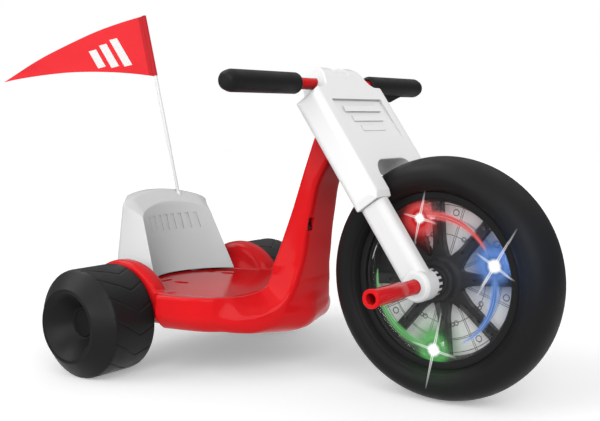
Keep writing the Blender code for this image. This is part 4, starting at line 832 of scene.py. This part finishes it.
def crown_outlines():
    width, depth = CROWN_HALF_WIDTH, CROWN_HALF_DEPTH
    front = arc((CROWN_INNER - 0.03, 0.1875), 0.03, 90, 0, 16)
    front += [(CROWN_INNER, COLLAR_HEIGHT), (width - 0.0045, COLLAR_HEIGHT), (width, COLLAR_HEIGHT + 0.0117)]
    front += arc((width - 0.013, CROWN_SHOULDER - 0.0135), 0.013, 0, 80, 8)
    front += [(u, CROWN_SHOULDER + v) for u, v in ((0.0765, 0.0005), (0.068, 0.005), (0.0625, 0.013))]
    ear = ((0.056, 0.004), (0.05, 0.016), (0.048, 0.034), (0.018, 0.034), (0.018, 0.004))
    front += [(u, BAR_HEIGHT + v) for u, v in ear]
    front += [(-u, v) for u, v in reversed(front)]
    foot = [(depth - 0.004, COLLAR_HEIGHT), (depth, COLLAR_HEIGHT + 0.0117)]
    top = [(n, BAR_HEIGHT + 0.0295 / depth * rise) for n, rise in arc((0, 0), depth, 0, 180, 40)]
    side = foot + top + [(-n, s) for n, s in reversed(foot)]
    ahead, behind = 0.0128, 0.015
    plan = arc((depth - ahead, width - ahead), ahead, 0, 90, 24)
    plan += arc((behind - depth, width - behind), behind, 90, 180, 8)
    plan += [(n, -y) for n, y in reversed(plan)]
    return front, side, plan


def crown_recess():
    """Sloping panel with three raised bars in the crown's face."""
    face, low, high = CROWN_HALF_DEPTH, 0.2605, 0.339
    side_view = [(face - 0.005, high), (face + 0.02, high), (face + 0.02, low), (face - 0.0006, low)]
    recess = form("recess", prism(side_view, -0.0755, 0.0755, FORK @ ACROSS))
    pitch = (high - low) / 4
    bars = []
    for row in range(3):
        middle = high - pitch * (row + 1)
        reach, half = 0.054 - 0.01 * row, pitch * 0.28
        bars.append(block((face - 0.02, -reach, middle - half), (face - 0.0004, reach, middle + half), FORK))
    carve(recess, together(*bars))
    return taken(recess)


def fork_crown():
    front, side, plan = crown_outlines()
    obj = form("fork_crown_fine", prism(front, -0.04, 0.04, FORK @ FACING))
    carve(obj, prism(side, -0.15, 0.15, FORK @ ACROSS), "INTERSECT")
    carve(obj, prism(plan, 0.1, 0.5, FORK), "INTERSECT")
    root = 0.006 - CROWN_HALF_DEPTH
    lug = [(root, 0.028)] + arc((-STEER_OFFSET, 0), 0.028, 90, 270, 32) + [(root, -0.028)]
    for low, high in ((0.349, 0.365), (0.222, 0.24)):
        carve(obj, prism(lug, low, high, FORK), "UNION")
    for name, way in SIDES:
        rings = [leg_section(way, height, GAP - LEG_STEP) for height in (0.1, 0.2353)]
        carve(obj, placed(loft(rings), FORK))
    moulded(obj, 0.001, 5)
    carve(obj, crown_recess())
    carve(obj, drum(STEM_RADIUS + GAP, 0.2, 0.4, STEER, 48))
    carve(obj, drum(BAR_RADIUS + GAP, -0.08, 0.08, BAR @ sideways(1), 64))
    dress(obj, "fork", WHITE, ["fork_crown"])


# Handlebar and grips

def bar_and_grips():
    half, bore = 0.283, 0.0081
    tube = rounded([(BAR_RADIUS, half), (BAR_RADIUS, -half), (bore, -half), (bore, half)], 0.0006, 2)
    turned("handlebar", tube, 72, BAR @ sideways(1), "fork", RED, "gloss_red")
    end, inner = 0.29, CROWN_HALF_WIDTH + 0.0005
    profile = rounded([
        (0, end), (GRIP_RADIUS - 0.0083, end), (GRIP_RADIUS - 0.0033, end - 0.0045),
        (GRIP_RADIUS, end - 0.016), (GRIP_RADIUS, inner + 0.006), (GRIP_RADIUS - 0.004, inner),
        (BAR_RADIUS + GAP, inner), (BAR_RADIUS + GAP, half + GAP), (0, half + GAP),
    ], 0.0022, 4, closed=False)
    for name, side in SIDES:
        obj = form("grip_%s_fine" % name, lathe(profile, 96, BAR @ sideways(side), closed=False))
        if side > 0:
            carve(obj, block((-0.007, 0.157, -0.04), (0.007, 0.2285, -0.0112), BAR))
        dress(obj, "fork", RUBBER, ["grip_" + name], 40.0)


# Body
HEAD = FORK @ Vector((-STEER_OFFSET, 0, 0.2945)) - TRIKE.translation
NECK_RUN = 0.1471
PIVOT_Z = DECK_TOP + 0.038
PIVOT_X = HEAD.x - NECK_RUN
SKIRT_START = REAR_RADIUS + 0.0205
TAB_X = -0.037
TAB_Y = 0.068
TAB_HALF_LENGTH = 0.006
TAB_HALF_WIDTH = 0.013
SLOT_PITCH = 0.05
SLOT_PLAY = 0.0005
SKIRT_PLAN = ((0.0, 0.2035), (0.16, 0.2003), (0.36, 0.1965), (0.6, 0.191), (0.8, 0.183))
TAIL_PLAN = (
    (-1.0, 0.105), (-0.97, 0.132), (-0.89, 0.152), (-0.74, 0.168), (-0.5, 0.178), (-0.2, 0.18), (1.0, 0.18),
)
# Each row: angle, centre depth, depths and half widths of rim, side and outer face, keel
FAN = (
    (-90, 0.041, 0.038, 0.168, 0.08, 0.17, 0.102, 0.15, 0.0),
    (-78, 0.0415, 0.0395, 0.153, 0.083, 0.154, 0.106, 0.134, 0.0165),
    (-66, 0.043, 0.043, 0.136, 0.087, 0.136, 0.1125, 0.112, 0.0145),
    (-55, 0.045, 0.046, 0.106, 0.091, 0.113, 0.1135, 0.088, 0.0165),
    (-45, 0.046, 0.0455, 0.079, 0.0935, 0.09, 0.1115, 0.066, 0.015),
    (-34, 0.0452, 0.0415, 0.064, 0.093, 0.0725, 0.1015, 0.06, 0.011),
    (-22, 0.0442, 0.0392, 0.06, 0.0905, 0.0625, 0.097, 0.053, 0.003),
    (-8, 0.044, 0.0388, 0.057, 0.089, 0.056, 0.0955, 0.049, 0.0),
)
# Each row: share of the height to the head, rear and front faces off the neck's line, their half widths, dish
NECK = (
    (0.045, 0.0394, 0.0924, 0.057, 0.048, 0.0042),
    (0.157, 0.0294, 0.0804, 0.0505, 0.046, 0.003),
    (0.3145, 0.0157, 0.0617, 0.0455, 0.044, 0.0014),
    (0.494, 0.0018, 0.0433, 0.042, 0.041, 0.0),
    (0.674, -0.0131, 0.0254, 0.0395, 0.038, -0.0012),
    (0.8086, -0.0244, 0.0191, 0.0375, 0.0345, -0.0022),
    (0.943, -0.0352, 0.012, 0.035, 0.028, -0.003),
    (1.078, -0.0461, -0.012, 0.031, 0.024, -0.0036),
    (1.15, -0.05, -0.026, 0.024, 0.018, -0.004),
)


def body_rows():
    """Rows for body_ring: origin x and z, angle, then the section's depths and widths."""
    top, bottom, edge = PIVOT_Z - DECK_TOP, PIVOT_Z - BODY_BOTTOM, PIVOT_Z - SKIRT_EDGE

    def deck(x, width, inset):
        return (x, PIVOT_Z, -90.0, top + DECK_RECESS, top, width, edge, width + 0.001, bottom, width - inset,
                0.4, 0.0)

    tail = [deck(s * (0.108 if s < 0 else SKIRT_START - 0.001), w, 0.016) for s, w in TAIL_PLAN]
    skirt = [deck(SKIRT_START + s * (PIVOT_X - SKIRT_START), w, 0.018) for s, w in SKIRT_PLAN]
    fan = [(PIVOT_X, PIVOT_Z, *row[:8], 0.12 if row[8] else 0.4, row[8]) for row in FAN]
    neck = []
    for share, rear, front, rear_w, front_w, dish in NECK:
        line = PIVOT_X + share * NECK_RUN
        rear, front = line + rear, line + front
        side_w = 0.2 * rear_w + 0.8 * front_w
        neck.append((0.0, PIVOT_Z + share * (HEAD.z - PIVOT_Z), 0.0, rear, rear - dish, rear_w,
                     front - 0.16 * (front - rear), side_w, front, front_w - 0.004, 0.4, 0.0))
    sweep = monotone(skirt + fan, 5)
    known = np.array([row[:3] for row in skirt + fan], float)
    for column in range(3):
        even = np.interp(np.arange(len(sweep)) / 5, np.arange(len(known)), known[:, column])
        for row, value in zip(sweep, even):
            row[column] = value
    return monotone(tail, 5) + sweep + monotone(neck, 5)


def body_ring(x, z, turn, centre, rim, rim_w, side, side_w, out, out_w, inset, keel):
    """Closed section from the top or rear face round to the far one; depths run along the angle."""
    ahead, rise = polar(1.0, turn)
    direction = Vector((ahead, 0, rise))
    origin = Vector((x, 0, z))
    lip = min(0.034, 0.55 * rim_w)
    half = [
        (0.0, centre), (0.35 * rim_w, centre), (rim_w - lip, centre), (rim_w - 0.7 * lip, rim + 0.0002),
        (rim_w - 0.0055, rim), (rim_w - 0.0012, rim + 0.0016), (rim_w, rim + 0.0055),
        (side_w, side), (side_w * 0.35 + out_w * 0.65, side * 0.32 + out * 0.68), (out_w - 0.005, out),
        (inset * out_w, out + keel), (0.0, out + keel),
    ]
    ring = filled(rounded(half + [(-y, depth) for y, depth in half[1:-1][::-1]], 0.008), 3)
    return [tuple(origin + direction * depth + Vector((0, -y, 0))) for y, depth in ring]


def fender():
    radius, face, inner = FENDER_RADIUS, BODY_WAIST + 0.0004, FENDER_INNER
    return rounded([
        (0, face), (radius - 0.008, face), (radius - 0.003, face - 0.002), (radius, face - 0.008),
        (radius, inner + 0.018), (radius - 0.004, inner + 0.008), (radius - 0.014, inner),
        (radius - 0.03, inner - 0.005), (radius - 0.052, inner - 0.018), (radius - 0.062, inner - 0.045),
        (0, inner - 0.045),
    ], 0.004, 3, closed=False)


def tab_block(side, index, grow, low, high):
    """Upright block at a tab's place, or at the slot that lies index pitches ahead of it."""
    x, y = TAB_X + SLOT_PITCH * index, side * TAB_Y
    half, wide = TAB_HALF_LENGTH + grow, TAB_HALF_WIDTH + grow
    return block((x - half, y - wide, low), (x + half, y + wide, high), TRIKE)


def body_shell():
    rings = [body_ring(*row) for row in body_rows()]
    parts = [placed(loft(rings), TRIKE)]
    hub = Matrix.Translation((FENDER_AHEAD, 0, 0)) @ REAR_HUB
    for name, side in SIDES:
        wing = form("wing", lathe(fender(), 160, hub @ sideways(side), closed=False))
        carve(wing, block((-0.2, -0.3, -0.1), (0.2, 0.3, DECK_TOP - 0.014), TRIKE))
        parts.append(taken(wing))
        parts.append(drum(0.017, BODY_WAIST - 0.035, BODY_WAIST + 0.0008, REAR_HUB @ sideways(side), 48))
    parts.append(drum(0.022, 0.243, 0.346, STEER, 64))
    obj = form("body_shell_fine", together(*parts))
    moulded(obj, 0.0015, 5)
    cuts = [drum(0.0128, 0.223, 0.366, STEER, 48)]
    for name, side in SIDES:
        cuts += [tab_block(side, index, SLOT_PLAY, DECK_TOP - 0.022, DECK_TOP + 0.02) for index in range(2)]
        oval = [(0.052 + 0.017 * u, side * TAB_Y + 0.0095 * v) for u, v in arc((0, 0), 1.0, 0, 352.5, 47)]
        cuts.append(prism(oval, DECK_TOP - DECK_RECESS - 0.0018, DECK_TOP + 0.01, TRIKE))
        cuts.append(drum(0.0118, BODY_WAIST - 0.032, BODY_WAIST + 0.02, REAR_HUB @ sideways(side), 48))
    for node in ("charge_socket", "switch_frame"):
        low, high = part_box(node)
        ahead = 0.02 if node == "charge_socket" else GAP
        cuts.append(block(low - Vector((GAP,) * 3), high + Vector((ahead, GAP, GAP))))
    carve(obj, together(*cuts))
    dress(obj, "trike", RED, ["body_shell"])


# Seat back

def seat_face_x(z, y):
    rise = z - DECK_TOP
    front_x, front_y = 0.03 - 0.42 * rise, 0.114 - 0.152 * rise
    hollow = max(0.016, 0.061 - 0.32 * rise)
    radius = (front_y ** 2 + hollow ** 2) / (2 * hollow)
    return front_x - (hollow - radius + sqrt(radius ** 2 - y ** 2))


def seat_ring(z):
    rise = z - DECK_TOP
    front_y = 0.114 - 0.152 * rise
    rear_x, rear_y = -0.0625 + 0.07 * (rise - 0.038), 0.125 - 0.085 * (rise - 0.038)
    front = [(seat_face_x(z, front_y * (-1 + step / 16)), front_y * (-1 + step / 16)) for step in range(33)]
    corner = ((0.006, -0.0008), (-0.003, -0.004), (-0.008, -0.012))
    left = [(rear_x + ahead, rear_y + out) for ahead, out in corner]
    left += [(-0.092 - 0.006 * (1 - share ** 2), 0.6 * rear_y * share) for share in (1.0, 0.75, 0.5, 0.25)]
    ring = front + left + [(-0.098, 0.0)] + [(x, -y) for x, y in reversed(left)]
    return [(x, y, z) for x, y in filled(ring, 8)]


def above_seat():
    """Everything over the seat back's domed top."""
    profile = (
        (-0.09, -0.0035), (-0.03, -0.002), (-0.012, -0.0004), (0.0, 0.0), (0.004, -0.0022), (0.14, -0.1302),
    )
    rings = []
    for step in range(33):
        y = -0.14 + 0.28 * step / 32
        ridge = seat_face_x(0.285, min(max(y, -0.09), 0.09)) - 0.0285
        crown = SEAT_TOP + SEAT_DOME * (1 - (y / 0.116) ** 2)
        ring = [(ridge + ahead, y, crown + rise) for ahead, rise in profile]
        rings.append(ring + [(0.12, y, 0.5), (-0.16, y, 0.5)])
    return placed(loft(rings), TRIKE)


def seat_back():
    floor = DECK_TOP + GAP
    heights = [floor + (0.345 - floor) * step / 24 for step in range(25)]
    obj = form("seat_back_fine", placed(loft([seat_ring(z) for z in heights]), TRIKE))
    carve(obj, above_seat())
    moulded(obj, 0.001, 5)
    tabs = [tab_block(side, 0, 0.0, DECK_TOP - 0.017, floor + 0.004) for name, side in SIDES]
    carve(obj, together(*tabs), "UNION")
    cuts = [drum(0.0054 + GAP, -0.056, 0.05, POLE, 32)]
    height, pitch = 0.253, 0.0185
    outline = rounded([(-0.001, -0.016), (0.007, -0.016), (0.001, 0.016), (-0.007, 0.016)], 0.0012, 3)
    for index in range(8):
        y = pitch * (index - 3.5)
        lean = atan((seat_face_x(height + 0.01, y) - seat_face_x(height - 0.01, y)) / 0.02)
        turn = atan((seat_face_x(height, y + 0.004) - seat_face_x(height, y - 0.004)) / 0.008)
        place = TRIKE @ Matrix.Translation((seat_face_x(height, y), y, height))
        place = place @ Matrix.Rotation(lean, 4, "Y") @ Matrix.Rotation(-turn, 4, "Z")
        cuts.append(prism(outline, -0.0016, 0.0016, place @ FACING))
    carve(obj, together(*cuts))
    dress(obj, "seat", SHADED_SEAT_WHITE, ["seat_back"])


# Pole and pennant

def pole():
    foot = -0.055
    profile = [(0, POLE_ABOVE), (POLE_RADIUS, POLE_ABOVE), (POLE_RADIUS, foot), (0, foot)]
    profile = rounded(profile, 0.0008, 3, closed=False)
    turned("flag_pole", profile, 32, POLE, "seat", FIBRE, "glass_fibre", closed=False)


def flag():
    """Pennant of one thin cloth: a sleeve round the pole, then a sheet that narrows to its tip."""
    half = FLAG_HOIST / 2
    middle = POLE_ABOVE - half
    along = Vector((-cos(FLAG_SWING), -sin(FLAG_SWING), 0))
    beside = Vector((-along.y, along.x, 0))
    radius = POLE_RADIUS + 0.0009
    columns, rows = 70, 24
    bm = bmesh.new()
    layer = bm.loops.layers.uv.new("UVMap")
    grid, places = [], []
    wrap = 14
    for i in range(wrap + columns + 1):
        line, line_places = [], []
        for j in range(rows + 1):
            share = j / rows
            if i < wrap:
                angle = pi * (1.0 - 2.0 * i / wrap) * 0.97
                out = -along * cos(angle) * radius + beside * sin(angle) * radius
                point = out + Vector((0, 0, middle - half + FLAG_HOIST * share))
                line_places.append((0.006 * i / wrap, -half + FLAG_HOIST * share))
            else:
                t = (i - wrap) / columns
                reach = radius + (FLAG_LENGTH - radius) * t
                bow = 0.06 * t * (1 - t)
                top = half * (1 - t) + bow
                low = -half * (1 - t) + bow
                height = low + (top - low) * share
                wave = 0.0016 * sin(6.0 * t + 1.6 * share) * (1 - 0.4 * t)
                wave *= sin(pi * min(1.0, 3 * t) / 2)
                wave += 0.0009 * sin(15.0 * t - 3.0 * share) * min(1.0, 4 * t)
                point = along * reach + beside * wave + Vector((0, 0, middle + height))
                line_places.append((reach, height))
            line.append(bm.verts.new(POLE @ point))
        grid.append(line)
        places.append(line_places)
    for i in range(len(grid) - 1):
        for j in range(rows):
            corners = ((i, j), (i + 1, j), (i + 1, j + 1), (i, j + 1))
            if len({tuple(grid[a][b].co) for a, b in corners}) < 4:
                continue
            face = bm.faces.new([grid[a][b] for a, b in corners])
            for loop, (a, b) in zip(face.loops, corners):
                loop[layer].uv = places[a][b]
    mesh = bpy.data.meshes.new("flag_cloth")
    bm.to_mesh(mesh)
    bm.free()
    obj = added("flag_cloth", mesh)
    mod = obj.modifiers.new("cloth", "SOLIDIFY")
    mod.thickness = 0.0007
    mod.offset = 0.0
    settle(obj)
    dress(obj, "flag", flag_finish(), ["flag"], 60.0)


# Rear wheels

def rear_wheels():
    steps = 540
    width = TREAD_OUTER - TREAD_INNER
    pitch = 2 * pi / 15
    bend = 0.62

    def zigzag(angle, radius, height):
        if radius < REAR_RADIUS - 0.004 or not TREAD_INNER + 0.002 < height < TREAD_OUTER + 0.001:
            return radius
        share = (TREAD_OUTER - height) / width
        shift = 1.45 * share if share < bend else 1.45 * bend - (share - bend)
        place = (angle / pitch + shift) % 1.0
        away = abs(place - 0.5) * pitch * REAR_RADIUS
        return radius - 0.0012 * min(1.0, max(0.0, 1.6 - away / 0.0013))

    tread = [(REAR_RADIUS, TREAD_OUTER - 0.006 - (width - 0.012) * step / 44) for step in range(45)]
    profile = rounded([
        (LIP_RADIUS - 0.0046, LIP_OUTER), (LIP_RADIUS - 0.001, LIP_OUTER), (LIP_RADIUS, LIP_OUTER - 0.001),
        (REAR_RADIUS - 0.0045, TREAD_OUTER + 0.002), (REAR_RADIUS - 0.0008, TREAD_OUTER - 0.002), tread[0],
    ], 0.0012, 3, closed=False)
    profile += tread[1:] + [(REAR_RADIUS - 0.0008, TREAD_INNER + 0.0015), (REAR_RADIUS - 0.003, TREAD_INNER)]
    low, well = DISH_FLOOR - 0.0085, 0.0248
    dish = rounded([
        (0.0625, LIP_OUTER - 0.0004), (0.0625, LIP_OUTER - 0.003), (0.0535, LIP_OUTER - 0.011),
        (well + 0.0025, DISH_FLOOR - 0.0025), (well + 0.0025, low - 0.0025), (AXLE_BORE, low - 0.0025),
        (AXLE_BORE, low), (well, low), (well, DISH_FLOOR), (0.0278, DISH_FLOOR), (0.0515, LIP_OUTER - 0.009),
        (0.0603, LIP_OUTER),
    ], 0.0008, 3)
    edge = 0.0245
    cap = rounded([
        (0, DISH_FLOOR + 0.0008), (edge - 0.0015, DISH_FLOOR + 0.0008), (edge, DISH_FLOOR - 0.0004),
        (edge, low + GAP), (edge - 0.0022, low + GAP), (edge - 0.0022, low + 0.0068), (0, low + 0.0068),
    ], 0.0008, 3, closed=False)
    for name, side in SIDES:
        bore = 0.0081 if side > 0 else AXLE_BORE
        stop = 0.1998 if side > 0 else TREAD_INNER + 0.012
        hub_end, wall = low - 0.0028, TREAD_INNER + 0.0045
        inside = [
            (bore, TREAD_INNER), (bore, stop), (AXLE_BORE, stop), (AXLE_BORE, hub_end), (0.0145, hub_end),
            (0.0145, wall), (REAR_RADIUS - 0.0045, wall), (REAR_RADIUS - 0.0045, TREAD_OUTER - 0.003),
            (0.0628, LIP_OUTER - 0.0045), (0.0628, LIP_OUTER - 0.0004),
        ]
        body, place = "rear_wheel_" + name, REAR_HUB @ sideways(side)
        rubber = lathe(profile + inside, steps, place, ripple=lambda a, r, h: zigzag(-side * a, r, h))
        dress(form("rear_tyre_" + name, rubber), body, BLACK, [body])
        turned("rear_dish_" + name, dish, 120, place, body, BLACK, "black_plastic")
        turned("hub_cap_" + name, cap, 72, place, body, GREY, "dark_grey_plastic", closed=False)


# Stage, light and camera

def ray_kinds(tree):
    """One for rays that meet the background straight or through clear pieces, and one for mirrored rays."""
    path = tree.nodes.new("ShaderNodeLightPath")
    kinds = ("Camera", "Transmission", "Glossy")
    straight, clear, mirrored = (Field(tree, path.outputs["Is %s Ray" % kind]) for kind in kinds)
    return straight.at_least(clear), mirrored


def floor_finish():
    """White floor that keeps the shadow; its share of own light is for the camera's rays alone."""
    material = new_material("floor")
    seen = ray_kinds(material.node_tree)[0]
    return give(material, {
        "Base Color": (0.95, 0.95, 0.95),
        "Roughness": 0.9,
        "Specular IOR Level": 0.0,
        "Emission Color": WHITEST,
        "Emission Strength": seen * 0.28,
    })


def stage():
    obj = form("floor", ([(-8, -8, 0), (8, -8, 0), (8, 8, 0), (-8, 8, 0)], [(0, 1, 2, 3)]))
    obj.data.materials.append(floor_finish())
    obj.visible_diffuse = obj.visible_glossy = obj.visible_shadow = False


def studio():
    """Soft light from all round, a white background, and a softbox above that gloss shows."""
    world = bpy.data.worlds.new("studio")
    scene.world = world
    world.use_nodes = True
    tree = world.node_tree
    seen, mirrored = ray_kinds(tree)
    height = axes(tree, output="Generated")[2]
    lit = (0.6 - height.above(0.0) * 0.14).at_least(seen)
    floor = ranged(height, 0.7, 0.18, -0.3, -0.05)
    ceiling = ranged(height, 0.0, 0.9, 0.3, 0.75)
    toward = worked_out(tree, "TexCoord", "Generated", ())
    beside_box = worked_out(tree, "VectorMath", "Value", ((0, toward), (1, Vector((-0.594, -0.097, 0.799)))),
                            operation="DOT_PRODUCT")
    strong = ranged(beside_box, 0.0, 4.5, 0.94, 0.98)
    back = tree.nodes["Background"]
    back.inputs["Color"].default_value = (*WHITEST, 1.0)
    feed(tree, lit * (1.0 - mirrored) + (floor + ceiling + strong) * mirrored, back.inputs["Strength"])
    scene.view_settings.view_transform = "Standard"
    scene.cycles.diffuse_bounces = 0


def sun(name, toward, strength, width):
    """Even light from one side of the sky, as a large softbox far away gives."""
    light = bpy.data.lights.new(name, "SUN")
    light.energy = strength
    light.angle = radians(width)
    added(name, light).rotation_euler = Vector(toward).to_track_quat("Z", "Y").to_euler()


def camera():
    view = bpy.data.cameras.new("camera")
    view.lens = 58.48
    view.sensor_width = 36.0
    view.sensor_fit = "HORIZONTAL"
    obj = added("camera", view)
    obj.location = TRIKE @ Vector((1.3254, -1.4038, 0.4648))
    obj.rotation_euler = (radians(84.435), 0, radians(36.608))
    scene.camera = obj


coat_solids()
front_tyre()
wheel_halves()
wheel_covers()
pegs_and_spacers()
fork_legs()
fork_crown()
bar_and_grips()
body_shell()
seat_back()
pole()
flag()
rear_wheels()
stage()
studio()
sun("key", (-0.5, -1.0, 0.55), 1.15, 50.0)
sun("fill", (0.8, -0.8, 0.55), 1.8, 50.0)
camera()
